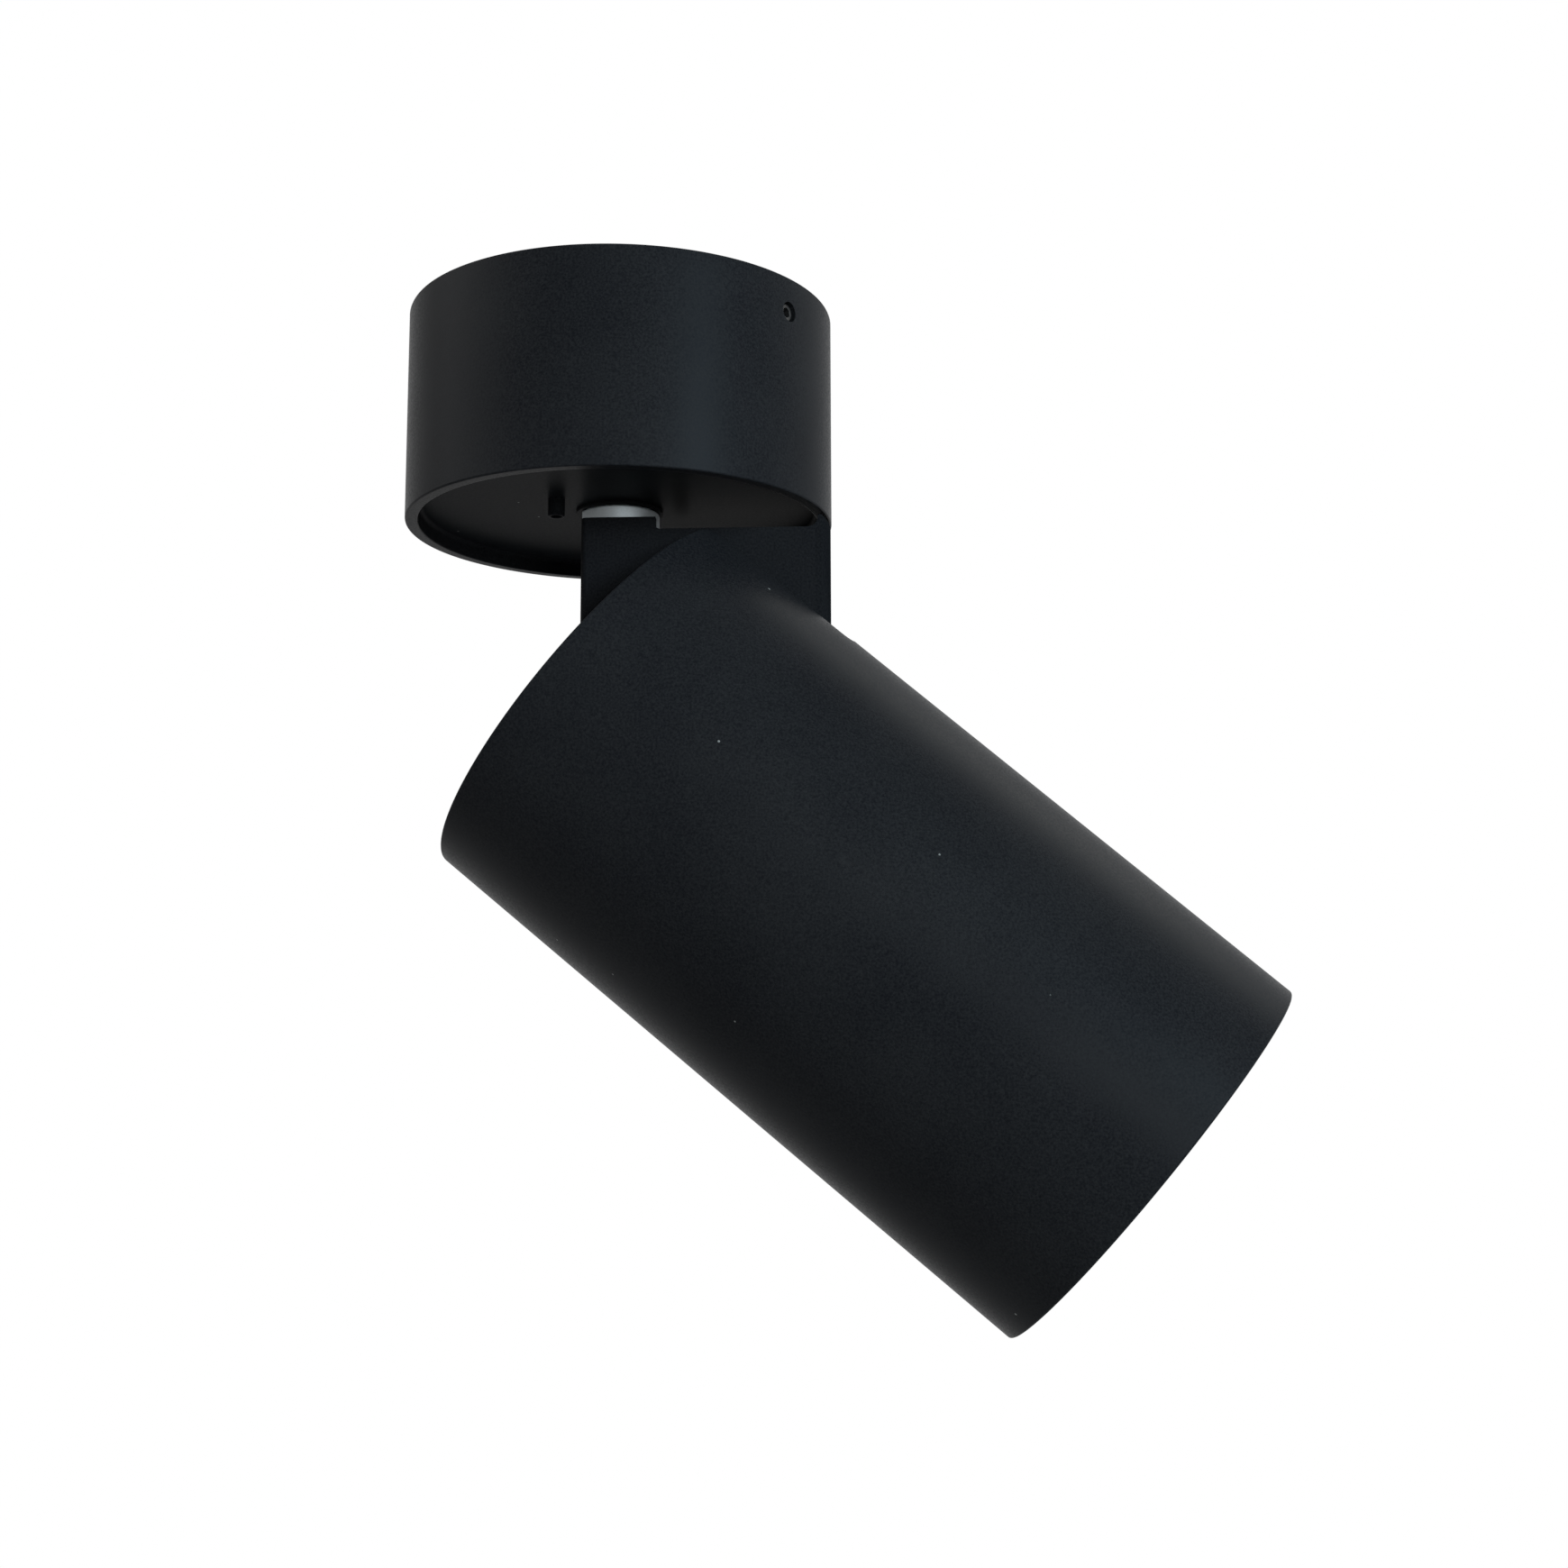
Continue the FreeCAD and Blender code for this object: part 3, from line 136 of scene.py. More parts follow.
# Each soft box: its bearing from the camera's side towards +X and its height angle in degrees, its
# side, its power in watts and its tint.
soft_boxes = (
    ("key_box", 46, 12, 400, 19.5, (0.66, 0.86, 1.0)),
    ("front_box", 21, 2, 400, 9.0, (0.88, 0.96, 1.0)),
    ("left_box", -80, 32, 900, 9.0, (0.98, 0.99, 1.0)),
    ("rim_box", 128, 45, 550, 2.5, (1.0, 1.0, 0.96)),
)
box_distance = 1300
lamp_aim = Vector((50, 0, -110)) * MM
for box_name, bearing, rise, side, power, tint in soft_boxes:
    data = bpy.data.lights.new(box_name, "AREA")
    data.shape = "SQUARE"
    data.size = side * MM
    data.energy = power
    data.color = tint
    soft_box = bpy.data.objects.new(box_name, data)
    bpy.context.scene.collection.objects.link(soft_box)
    out = (Matrix.Rotation(math.radians(bearing), 3, "Z")
           @ Matrix.Rotation(-math.radians(rise), 3, "X") @ Vector((0, -1, 0)))
    soft_box.location = lamp_aim + out * box_distance * MM
    soft_box.rotation_euler = (-out).to_track_quat("-Z", "Y").to_euler()
    soft_box.visible_camera = False

# Canopy shell: a cast aluminium cup, its floor set in above a thin lip, satin black powder coat.
# It is clamped to the ceiling strap by two side screws and carries the whole spotlight.
canopy_radius = 50.0
canopy_inner = 47.0
floor_under = -46.0
floor_top = -43.8
lip_end = -50.0
nipple_hole = 5.05
strap_turn = math.radians(-34)
side_screw_level = -8.0
side_hole = 2.3
above_hole = -4
below_hole = -12
boss_radius = 3.5
boss_top = -40.8
boss_pilot = 1.5
boss_spots = ((33.5, 23.0), (-33.5, 23.0), (17.55, -28.0), (-17.55, -28.0))
stop_x = -4.94
stop_y = -16.58
stop_hole = 2.0


def outline_piece(name, points, closed, rounds=()):
    """Draw a line through points in millimetres, from one point extruded to the next, and round
    the listed corners: (point number, radius, steps)."""
    bpy.ops.object.select_all(action="DESELECT")
    bpy.ops.mesh.primitive_plane_add(size=MM, location=Vector(points[0]) * MM)
    piece = bpy.context.object
    piece.name = name
    piece.data.name = name
    bpy.ops.object.transform_apply()
    bpy.ops.object.mode_set(mode="EDIT")
    bpy.ops.mesh.select_mode(type="VERT")
    bpy.ops.mesh.select_all(action="SELECT")
    bpy.ops.mesh.merge(type="CENTER")
    for before, after in zip(points, points[1:]):
        step = (Vector(after) - Vector(before)) * MM
        bpy.ops.mesh.extrude_vertices_move(TRANSFORM_OT_translate={"value": step})
    if closed:
        pick_points(piece, [points[0], points[-1]])
        bpy.ops.mesh.edge_face_add()
    for number, radius, steps in rounds:
        pick_points(piece, [points[number]])
        bpy.ops.mesh.bevel(offset=radius * MM, segments=steps, affect="VERTICES")
    return piece


def pick_points(piece, places):
    """Select the vertices that lie at these places, in millimetres."""
    bpy.ops.mesh.select_all(action="DESELECT")
    bpy.ops.mesh.select_mode(type="VERT")
    shape = bmesh.from_edit_mesh(piece.data)
    for vertex in shape.verts:
        vertex.select = any((vertex.co / MM - Vector(place)).length < 0.002 for place in places)
    shape.select_flush_mode()
    bmesh.update_edit_mesh(piece.data)


def turned_piece(name, outline, rounds=(), closed=True, steps=192):
    """A turned part: half its outline as (radius, height), spun about the upright axis."""
    points = [(radius, 0, height) for radius, height in outline]
    piece = outline_piece(name, points, closed, rounds)
    bpy.ops.mesh.select_all(action="SELECT")
    bpy.ops.mesh.spin(steps=steps, angle=math.tau, center=(0, 0, 0), axis=(0, 0, 1))
    bpy.ops.mesh.select_all(action="SELECT")
    bpy.ops.mesh.remove_doubles(threshold=0.001 * MM)
    bpy.ops.mesh.normals_make_consistent(inside=False)
    bpy.ops.object.mode_set(mode="OBJECT")
    return piece


def rod(name, radius, start, end, steps=48):
    """A round bar between two points, in millimetres."""
    start = Vector(start) * MM
    end = Vector(end) * MM
    bpy.ops.object.select_all(action="DESELECT")
    bpy.ops.mesh.primitive_cylinder_add(
        vertices=steps, radius=radius * MM, depth=(end - start).length,
        location=(start + end) / 2, rotation=(end - start).to_track_quat("Z", "Y").to_euler())
    piece = bpy.context.object
    piece.name = name
    piece.data.name = name
    bpy.ops.object.transform_apply()
    return piece


def combine(piece, other, how="DIFFERENCE"):
    """Cut the other piece away from this one, or join or keep what they share."""
    modifier = piece.modifiers.new("combine", "BOOLEAN")
    modifier.operation = how
    modifier.solver = "EXACT"
    modifier.object = other
    bpy.context.view_layer.objects.active = piece
    bpy.ops.object.modifier_apply(modifier="combine")
    bpy.data.objects.remove(other)


def ease_edges(piece, width, steps=2, angle=35):
    """Round every edge sharper than an angle."""
    modifier = piece.modifiers.new("ease", "BEVEL")
    modifier.width = width * MM
    modifier.segments = steps
    modifier.limit_method = "ANGLE"
    modifier.angle_limit = math.radians(angle)
    modifier.miter_outer = "MITER_ARC"
    bpy.context.view_layer.objects.active = piece
    bpy.ops.object.modifier_apply(modifier="ease")


def pick_only(piece):
    """Select this piece alone and make it the active one."""
    bpy.ops.object.select_all(action="DESELECT")
    piece.select_set(True)
    bpy.context.view_layer.objects.active = piece


def turn_piece(piece, axis, angle, centre=(0, 0, 0)):
    """Turn a piece about a point in millimetres and keep the turn in its mesh."""
    middle = Vector(centre) * MM
    pick_only(piece)
    piece.matrix_world = (Matrix.Translation(middle) @ Matrix.Rotation(angle, 4, axis)
                          @ Matrix.Translation(-middle))
    bpy.ops.object.transform_apply()


def finish_piece(piece, body, material, nodes, smooth=32):
    """Smooth shading, a material, and what the piece rides on and stands for."""
    pick_only(piece)
    bpy.ops.object.shade_smooth_by_angle(angle=math.radians(smooth))
    modifier = piece.modifiers.new("flats", "WEIGHTED_NORMAL")
    modifier.keep_sharp = True
    bpy.ops.object.modifier_apply(modifier="flats")
    piece.data.materials.clear()
    piece.data.materials.append(material)
    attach(piece, body)
    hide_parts(*nodes)


def base_material(name, colour, roughness, metallic=0.0, gloss=0.5):
    """A plain shader to build one finish on."""
    material = bpy.data.materials.new(name)
    material.use_nodes = True
    shader = material.node_tree.nodes["Principled BSDF"]
    shader.inputs["Base Color"].default_value = (*colour, 1)
    shader.inputs["Roughness"].default_value = roughness
    shader.inputs["Metallic"].default_value = metallic
    shader.inputs["Specular IOR Level"].default_value = gloss
    return material


def pattern_place(material, stretch=(1, 1, 1), turn=(0, 0, 0)):
    """Where a pattern is read: the piece's own place, stretched and turned."""
    tree = material.node_tree
    place = tree.nodes.new("ShaderNodeTexCoord")
    mapping = tree.nodes.new("ShaderNodeMapping")
    mapping.vector_type = "TEXTURE"
    mapping.inputs["Scale"].default_value = stretch
    mapping.inputs["Rotation"].default_value = turn
    tree.links.new(place.outputs["Object"], mapping.inputs["Vector"])
    return mapping.outputs["Vector"]


def cloudy(material, place, grain, detail=2.0):
    """Soft noise with spots about as wide as grain, in millimetres."""
    tree = material.node_tree
    node = tree.nodes.new("ShaderNodeTexNoise")
    node.inputs["Scale"].default_value = 1 / (grain * MM)
    node.inputs["Detail"].default_value = detail
    tree.links.new(place, node.inputs["Vector"])
    return node.outputs["Fac"]


def between(material, value, low, high, start=0.35, end=0.65):
    """Spread a pattern over a range."""
    tree = material.node_tree
    node = tree.nodes.new("ShaderNodeMapRange")
    node.inputs["From Min"].default_value = start
    node.inputs["From Max"].default_value = end
    node.inputs["To Min"].default_value = low
    node.inputs["To Max"].default_value = high
    tree.links.new(value, node.inputs["Value"])
    return node.outputs["Result"]


def tinted(material, value, first, second):
    """A colour between two by a pattern."""
    tree = material.node_tree
    node = tree.nodes.new("ShaderNodeMix")
    node.data_type = "RGBA"
    node.inputs["A"].default_value = (*first, 1)
    node.inputs["B"].default_value = (*second, 1)
    tree.links.new(value, node.inputs["Factor"])
    return node.outputs["Result"]


def to_shader(material, value, socket):
    """Lead a pattern into one socket of the shader."""
    tree = material.node_tree
    tree.links.new(value, tree.nodes["Principled BSDF"].inputs[socket])


def raised(material, heights):
    """Fine relief: patterns as (value, height in millimetres, strength), one on another."""
    tree = material.node_tree
    normal = None
    for value, height, strength in heights:
        node = tree.nodes.new("ShaderNodeBump")
        node.inputs["Distance"].default_value = height * MM
        node.inputs["Strength"].default_value = strength
        tree.links.new(value, node.inputs["Height"])
        if normal:
            tree.links.new(normal, node.inputs["Normal"])
        normal = node.outputs["Normal"]
    to_shader(material, normal, "Normal")


def satin_coat(name, dark, light, roughness=0.4, gloss=0.022):
    """Black powder coat: orange peel, a fine grain and a few pale specks of dust."""
    speck_spacing = 13
    speck_grey = (0.16, 0.16, 0.15, 1)
    material = base_material(name, dark, roughness, gloss=gloss)
    place = pattern_place(material)
    peel = cloudy(material, place, 1.6)
    grain = cloudy(material, place, 0.5)
    drift = cloudy(material, place, 26.0, 3.0)
    tree = material.node_tree
    cells = tree.nodes.new("ShaderNodeTexVoronoi")
    cells.inputs["Scale"].default_value = 1 / (speck_spacing * MM)
    tree.links.new(place, cells.inputs["Vector"])
    speck = between(material, cells.outputs["Distance"], 1.0, 0.0, 0.016, 0.026)
    shade = tree.nodes.new("ShaderNodeMath")
    shade.operation = "ADD"
    tree.links.new(between(material, grain, 0.0, 0.75, 0.3, 0.7), shade.inputs[0])
    tree.links.new(between(material, drift, 0.0, 0.25), shade.inputs[1])
    colour = tinted(material, shade.outputs["Value"], dark, light)
    dusty = tree.nodes.new("ShaderNodeMix")
    dusty.data_type = "RGBA"
    dusty.inputs["B"].default_value = speck_grey
    tree.links.new(speck, dusty.inputs["Factor"])
    tree.links.new(colour, dusty.inputs["A"])
    to_shader(material, dusty.outputs["Result"], "Base Color")
    to_shader(material, between(material, grain, roughness - 0.07, roughness + 0.07), "Roughness")
    raised(material, ((peel, 0.03, 0.25), (grain, 0.022, 0.6)))
    return material


def gloss_by_radius(material, start, end, inside, outside):
    """Let the gloss change with the distance from the upright axis, in millimetres."""
    tree = material.node_tree
    from_axis = tree.nodes.new("ShaderNodeVectorMath")
    from_axis.operation = "LENGTH"
    height_left_out = (1, 1, 1e6)
    tree.links.new(pattern_place(material, height_left_out), from_axis.inputs[0])
    gloss = between(material, from_axis.outputs["Value"], inside, outside, start * MM, end * MM)
    to_shader(material, gloss, "Specular IOR Level")


coat_dark = (0.0042, 0.0045, 0.0056)
coat_light = (0.0124, 0.0126, 0.0132)
black_coat = satin_coat("satin_black_coat", coat_dark, coat_light)
# Painted shade: inside the cup the coat has a quarter of the gloss, so the recess reads darker.
cup_coat_painted_shade = satin_coat("satin_black_cup_painted_shade", coat_dark, coat_light)
gloss_by_radius(cup_coat_painted_shade, canopy_inner - 0.1, canopy_inner + 0.2, 0.0055, 0.022)
canopy = turned_piece(
    "canopy_cup",
    [(canopy_inner, 0), (canopy_radius, 0), (canopy_radius, above_hole),
     (canopy_radius, below_hole), (canopy_radius, lip_end), (canopy_inner, lip_end),
     (canopy_inner, floor_under), (nipple_hole, floor_under), (nipple_hole, floor_top),
     (canopy_inner, floor_top), (canopy_inner, below_hole), (canopy_inner, above_hole)],
    rounds=((0, 0.3, 2), (1, 0.3, 2), (4, 0.45, 4), (5, 0.3, 3), (6, 1.2, 4), (9, 1.2, 4)))
for spot_x, spot_y in boss_spots:
    boss = rod("boss", boss_radius, (spot_x, spot_y, floor_top - 1), (spot_x, spot_y, boss_top))
    combine(canopy, boss, "UNION")
    combine(canopy, rod("pilot", boss_pilot, (spot_x, spot_y, floor_top + 0.4),
                        (spot_x, spot_y, boss_top + 0.8)))
combine(canopy, rod("pin_hole", stop_hole, (stop_x, stop_y, floor_under - 2),
                    (stop_x, stop_y, boss_top + 0.8)))
for side in (-1, 1):
    combine(canopy, rod("side_hole", side_hole, (side * (canopy_inner - 7), 0, side_screw_level),
                        (side * (canopy_radius + 5), 0, side_screw_level), 64))
ease_edges(canopy, 0.2, angle=50)
turn_piece(canopy, "Z", strap_turn)
finish_piece(canopy, "canopy", cup_coat_painted_shade, ["canopy_shell"])

# Ceiling strap: zinc plated steel bar, bent down at both ends, with holes for the ceiling screws,
# the supply cable and the earth screw. It stays on the ceiling and the canopy slides over it.


def eased_copy(name, node, width, steps=2, angle=35):
    """A copy of one of the fixed parts, triangles merged to whole faces and edges eased."""
    piece = bpy.data.objects.new(name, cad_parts[node].data.copy())
    bpy.context.scene.collection.objects.link(piece)
    pick_only(piece)
    bpy.ops.mesh.customdata_custom_splitnormals_clear()
    bpy.ops.object.mode_set(mode="EDIT")
    bpy.ops.mesh.select_all(action="SELECT")
    bpy.ops.mesh.remove_doubles(threshold=0.001 * MM)
    bpy.ops.mesh.dissolve_limited(angle_limit=math.radians(0.5))
    bpy.ops.mesh.normals_make_consistent(inside=False)
    bpy.ops.object.mode_set(mode="OBJECT")
    if width:
        ease_edges(piece, width, steps, angle)
    return piece


def plated_metal(name, colour, cloud, roughness, marks=(1, 1, 1)):
    """Plated or bare metal: faint clouds in the finish and fine marks of the tool."""
    material = base_material(name, colour, roughness, metallic=1.0)
    place = pattern_place(material)
    stains = cloudy(material, place, 7.0, 3.0)
    fine = cloudy(material, pattern_place(material, marks), 0.35)
    to_shader(material, tinted(material, between(material, stains, 0, 1), colour, cloud),
              "Base Color")
    to_shader(material, between(material, fine, roughness - 0.06, roughness + 0.08), "Roughness")
    raised(material, ((fine, 0.01, 0.3),))
    return material


zinc = plated_metal("zinc_plated_steel", (0.60, 0.61, 0.60), (0.50, 0.52, 0.54), 0.32, (1, 8, 1))
strap = eased_copy("ceiling_bar", "ceiling_strap", 0.2)
finish_piece(strap, "canopy", zinc, ["ceiling_strap"])

# Side screws: black oxide set screws with a hexagon socket, one at each end of the strap. They
# pass the canopy wall and stop just under its surface.
side_head = 49.2
side_tail = 41.7
side_screw_radius = 1.95
side_socket_radius = 1.2
side_socket_depth = 2


def black_metal(name):
    """Black oxide steel: nearly black, slightly brown, with an oily sheen."""
    material = base_material(name, (0.02, 0.02, 0.021), 0.34, metallic=0.6)
    place = pattern_place(material)
    patches = between(material, cloudy(material, place, 3.0, 3.0), 0, 1)
    fine = cloudy(material, place, 0.25)
    to_shader(material, tinted(material, patches, (0.016, 0.016, 0.018), (0.03, 0.028, 0.026)),
              "Base Color")
    to_shader(material, between(material, fine, 0.28, 0.42), "Roughness")
    raised(material, ((fine, 0.006, 0.3),))
    return material


oxide = black_metal("black_oxide_steel")
screw_halves = []
for side in (-1, 1):
    screw = rod("set_screw", side_screw_radius, (side * side_tail, 0, side_screw_level),
                (side * side_head, 0, side_screw_level))
    combine(screw, rod("socket", side_socket_radius,
                       (side * (side_head - side_socket_depth), 0, side_screw_level),
                       (side * (side_head + 1), 0, side_screw_level), 6))
    ease_edges(screw, 0.25, 2, 50)
    screw_halves.append(screw)


def join_pieces(pieces, name):
    """Several like pieces as one object."""
    bpy.ops.object.select_all(action="DESELECT")
    for piece in pieces:
        piece.select_set(True)
    bpy.context.view_layer.objects.active = pieces[0]
    bpy.ops.object.join()
    pieces[0].name = name
    pieces[0].data.name = name
    return pieces[0]


side_screws = join_pieces(screw_halves, "side_set_screws")
turn_piece(side_screws, "Z", strap_turn)
finish_piece(side_screws, "canopy", oxide, ["side_screws"])

# Stop pin: a steel screw put in from above and coated with the canopy, with the dulled gloss of
# the cup's inside, a painted shade. Its hollow end stands out under the floor and meets a lug on
# the arm at the end of its turn.
pin_end = -50.1
pin_radius = 1.95
pin_head_radius = 3.5
pin_head_top = floor_top + 2.4
pin_socket_radius = 2.0
pin_cup_radius = 1.35
socket_depth = 1.2
stop_pin = turned_piece(
    "stop_screw",
    [(0, pin_head_top), (pin_head_radius, pin_head_top), (pin_head_radius, floor_top),
     (pin_radius, floor_top), (pin_radius, pin_end), (0, pin_end)],
    rounds=((1, 0.4, 3), (2, 0.2, 2), (4, 0.3, 3)), closed=False, steps=48)
combine(stop_pin, rod("socket", pin_socket_radius, (0, 0, pin_head_top - socket_depth),
                      (0, 0, pin_head_top + 1.6), 6))
combine(stop_pin, rod("cup_point", pin_cup_radius, (0, 0, pin_end - 1),
                      (0, 0, pin_end + socket_depth), 32))
stop_pin.data.transform(Matrix.Translation(Vector((stop_x, stop_y, 0)) * MM))
turn_piece(stop_pin, "Z", strap_turn)
finish_piece(stop_pin, "canopy", cup_coat_painted_shade, ["stop_pin"])

# Driver: a white moulded case with a snap-on lid, screwed to two bosses of the canopy floor. The
# board inside is a green laminate.


def moulded(name, colour, second, roughness, grain=0.4, depth=0.01, gloss=0.5):
    """Moulded plastic: an even colour with faint flow clouds and a fine spark-eroded grain."""
    material = base_material(name, colour, roughness, gloss=gloss)
    place = pattern_place(material)
    flow = between(material, cloudy(material, place, 14.0, 2.0), 0, 1)
    fine = cloudy(material, place, grain)
    to_shader(material, tinted(material, flow, colour, second), "Base Color")
    to_shader(material, between(material, fine, roughness - 0.05, roughness + 0.06), "Roughness")
    raised(material, ((fine, depth, 0.4),))
    return material


def dress(node, material):
    """A new finish on one of the fixed parts."""
    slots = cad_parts[node].material_slots
    slots[0].link = "OBJECT"
    slots[0].material = material


white_shell = moulded("white_moulding", (0.80, 0.80, 0.78), (0.74, 0.74, 0.71), 0.45)
case = eased_copy("driver_box", "driver_case", 0.3)
finish_piece(case, "canopy", white_shell, ["driver_case"])
lid = eased_copy("driver_cover", "driver_lid", 0.5, 3)


def pick_faces(piece, wanted):
    """Go into edit mode and select the faces that a test on place and normal lets through."""
    pick_only(piece)
    bpy.ops.object.mode_set(mode="EDIT")
    bpy.ops.mesh.select_mode(type="FACE")
    bpy.ops.mesh.select_all(action="DESELECT")
    shape = bmesh.from_edit_mesh(piece.data)
    for face in shape.faces:
        face.select_set(bool(wanted(face)))
    bmesh.update_edit_mesh(piece.data)


lid_rim = 2.2
lid_step = 0.35
pick_faces(lid, lambda face: face.normal.z > 0.99 and face.calc_area() > 500 * MM * MM)
bpy.ops.mesh.inset(thickness=lid_rim * MM, depth=0)
bpy.ops.mesh.inset(thickness=0.25 * MM, depth=-lid_step * MM)
bpy.ops.object.mode_set(mode="OBJECT")
finish_piece(lid, "canopy", white_shell, ["driver_lid"])
board_green = moulded("board_laminate", (0.05, 0.20, 0.09), (0.07, 0.26, 0.12), 0.3, 0.15)
dress("driver_board", board_green)

# Terminal block: cream polyamide with three wells and brass screws, held by two more of the zinc
# plated case screws. The earth screw in the strap is brass too.
cream_block = moulded("cream_polyamide", (0.74, 0.70, 0.60), (0.68, 0.63, 0.52), 0.4)
brass = plated_metal("satin_brass", (0.68, 0.52, 0.24), (0.60, 0.43, 0.18), 0.28)
block = eased_copy("wire_block", "terminal_block", 0.4)
finish_piece(block, "canopy", cream_block, ["terminal_block"])
for node, slot, metal, name in (("terminal_screws", "brass", brass, "wire_screws"),
                                ("earth_screw", "brass", brass, "earth_bolt"),
                                ("case_screws", "zinc_steel", zinc, "case_bolts")):
    finish_piece(eased_copy(name, node, 0.2), "canopy", metal, [node])

# Grommets: black rubber rings that snap into the cable holes of the strap, of the arm's cover and
# of the heat sink.
rubber = moulded("black_rubber_ring", (0.018, 0.018, 0.018), (0.028, 0.027, 0.026), 0.62,
                 grain=0.3, depth=0.02)
for node, body, name in (("strap_grommet", "canopy", "strap_ring"),
                         ("arm_grommet", "arm", "arm_ring"),
                         ("sink_grommet", "lamp", "sink_ring")):
    finish_piece(eased_copy(name, node, 0.35, 3), body, rubber, [node])

# Swivel: a hollow threaded nipple through the canopy floor, between two black slip washers, with a
# cast collar below and a cupped spring washer and two nuts above.
slip_plastic = moulded("slip_washer_plastic", (0.006, 0.006, 0.0065), (0.009, 0.009, 0.009), 0.6,
                       gloss=0.02)
for node, name in (("lower_washer", "lower_slip_washer"), ("upper_washer", "upper_slip_washer")):
    finish_piece(eased_copy(name, node, 0.15), "canopy", slip_plastic, [node])


def prism(name, outline, plane, start, end, rounds=()):
    """A flat outline in the side view (XZ), plan (XY) or end view (YZ), made thick."""
    where = {"XZ": lambda a, b, c: (a, c, b), "XY": lambda a, b, c: (a, b, c),
             "YZ": lambda a, b, c: (c, a, b)}[plane]
    piece = outline_piece(name, [where(a, b, start) for a, b in outline], True, rounds)
    bpy.ops.mesh.select_all(action="SELECT")
    bpy.ops.mesh.edge_face_add()
    step = Vector(where(0, 0, end - start)) * MM
    bpy.ops.mesh.extrude_region_move(TRANSFORM_OT_translate={"value": step})
    bpy.ops.mesh.select_all(action="SELECT")
    bpy.ops.mesh.normals_make_consistent(inside=False)
    bpy.ops.object.mode_set(mode="OBJECT")
    return piece


arm_top = -53.8
collar_radius = 9.45
collar_top = -46.8
flat_place = -8.2
cast_zinc = plated_metal("cast_zinc", (0.55, 0.585, 0.60), (0.49, 0.52, 0.53), 0.6)
collar = turned_piece(
    "swivel_spacer",
    [(nipple_hole, arm_top), (collar_radius, arm_top), (collar_radius, collar_top),
     (nipple_hole, collar_top)],
    rounds=((1, 0.3, 3), (2, 0.6, 4)), steps=128)
back_flat = prism("back_flat", [(-12, -55), (-12, -46), (flat_place, -46), (flat_place, -55)],
                  "XZ", -12, 12)
combine(collar, back_flat)
finish_piece(collar, "arm", cast_zinc, ["swivel_collar"])
nipple_bore = 3.6
nipple_end = -62.8
thread_root = 4.5
thread_crest = 5.0
thread_start = -47.2
thread_top = -33.9
thread_line = [(nipple_bore, nipple_end), (thread_root + 0.1, nipple_end)]
for turn in range(13):
    level = thread_start + turn
    thread_line += [(thread_root, level), (thread_crest, level + 0.5)]
thread_line += [(thread_root, thread_top), (nipple_bore, thread_top)]
nipple = turned_piece("threaded_nipple", thread_line, steps=64)
finish_piece(nipple, "arm", zinc, ["swivel_nipple"], smooth=20)
for node, name in (("swivel_spring", "cupped_spring"), ("swivel_nuts", "lock_nuts")):
    finish_piece(eased_copy(name, node, 0.3), "arm", zinc, [node])

# Arm: a cast aluminium bracket with a duller coat than the canopy's, and painted shade on its
# outer face, which has no gloss. It is hollow for the cable, straight at the free end and round at
# the hinge, and its outer web follows the outline of the hanging tube.
arm_half = 13.0
arm_back = -7.4
web_inner = 47.2
web_top = -51.0
tab_top = -50.95
tab_front = 9.8
tab_inner = 10.5
hinge_x = 37.0
hinge_z = -79.8
round_end = 12.8
outer_round = 49.8
lug_place = (13.37, 10.98)
lug_top = -49.5
cavity_half = 10
cavity_roof = -56.8
cavity_front = 44.8
cavity_shelf = -71.8
opening_back = 0.3
opening_front = 25.62
hinge_hole = 2.55
arm = prism("arm_casting", [(arm_back, arm_top), (arm_back, -77.261), (32.622, -91.828),
                            (hinge_x, hinge_z), (52, hinge_z), (52, web_top),
                            (web_inner, web_top), (web_inner, arm_top)],
            "XZ", -arm_half, arm_half, rounds=((7, 2.4, 6),))
combine(arm, rod("round_end", round_end, (hinge_x, -arm_half, hinge_z),
                 (hinge_x, arm_half, hinge_z), 144), "UNION")
for start, end in ((-arm_half, -tab_inner), (tab_inner, arm_half)):
    tab = prism("cheek_tab", [(arm_back, -55), (arm_back, tab_top), (tab_front, tab_top),
                              (tab_front, arm_top), (12, arm_top), (12, -55)],
                "XZ", start, end, rounds=((3, 1.0, 4),))
    combine(arm, tab, "UNION")
combine(arm, rod("stop_lug", 2.0, (*lug_place, -56), (*lug_place, lug_top)), "UNION")
plan = prism("plan", [(arm_back, -arm_half), (60, -arm_half), (60, arm_half),
                      (arm_back, arm_half)], "XY", -100, -40, rounds=((0, 1.4, 5), (3, 1.4, 5)))
combine(plan, rod("outer_face", outer_round, (0, 0, -101), (0, 0, -39), 256), "INTERSECT")
combine(arm, plan, "INTERSECT")
cavity = prism("cavity", [(-3.7, nipple_end), (9, nipple_end), (9, cavity_roof),
                          (cavity_front, cavity_roof), (cavity_front, cavity_shelf),
                          (hinge_x, cavity_shelf), (opening_front, hinge_z),
                          (opening_front, -100), (opening_back, -100), (opening_back, -69.5),
                          (-3.7, -66.5)], "XZ", -cavity_half, cavity_half)
combine(arm, cavity)
combine(arm, rod("nipple_hole", nipple_hole, (0, 0, -70), (0, 0, -50)))
combine(arm, rod("hinge_hole", hinge_hole, (hinge_x, -20, hinge_z), (hinge_x, 20, hinge_z)))
ease_edges(arm, 0.3, 3, 50)
arm_gloss = 0.010
arm_coat_painted_shade = satin_coat("satin_black_cast_painted_shade", (0.0042, 0.0044, 0.0054), (0.0118, 0.0120, 0.0126),
                      0.54, arm_gloss)
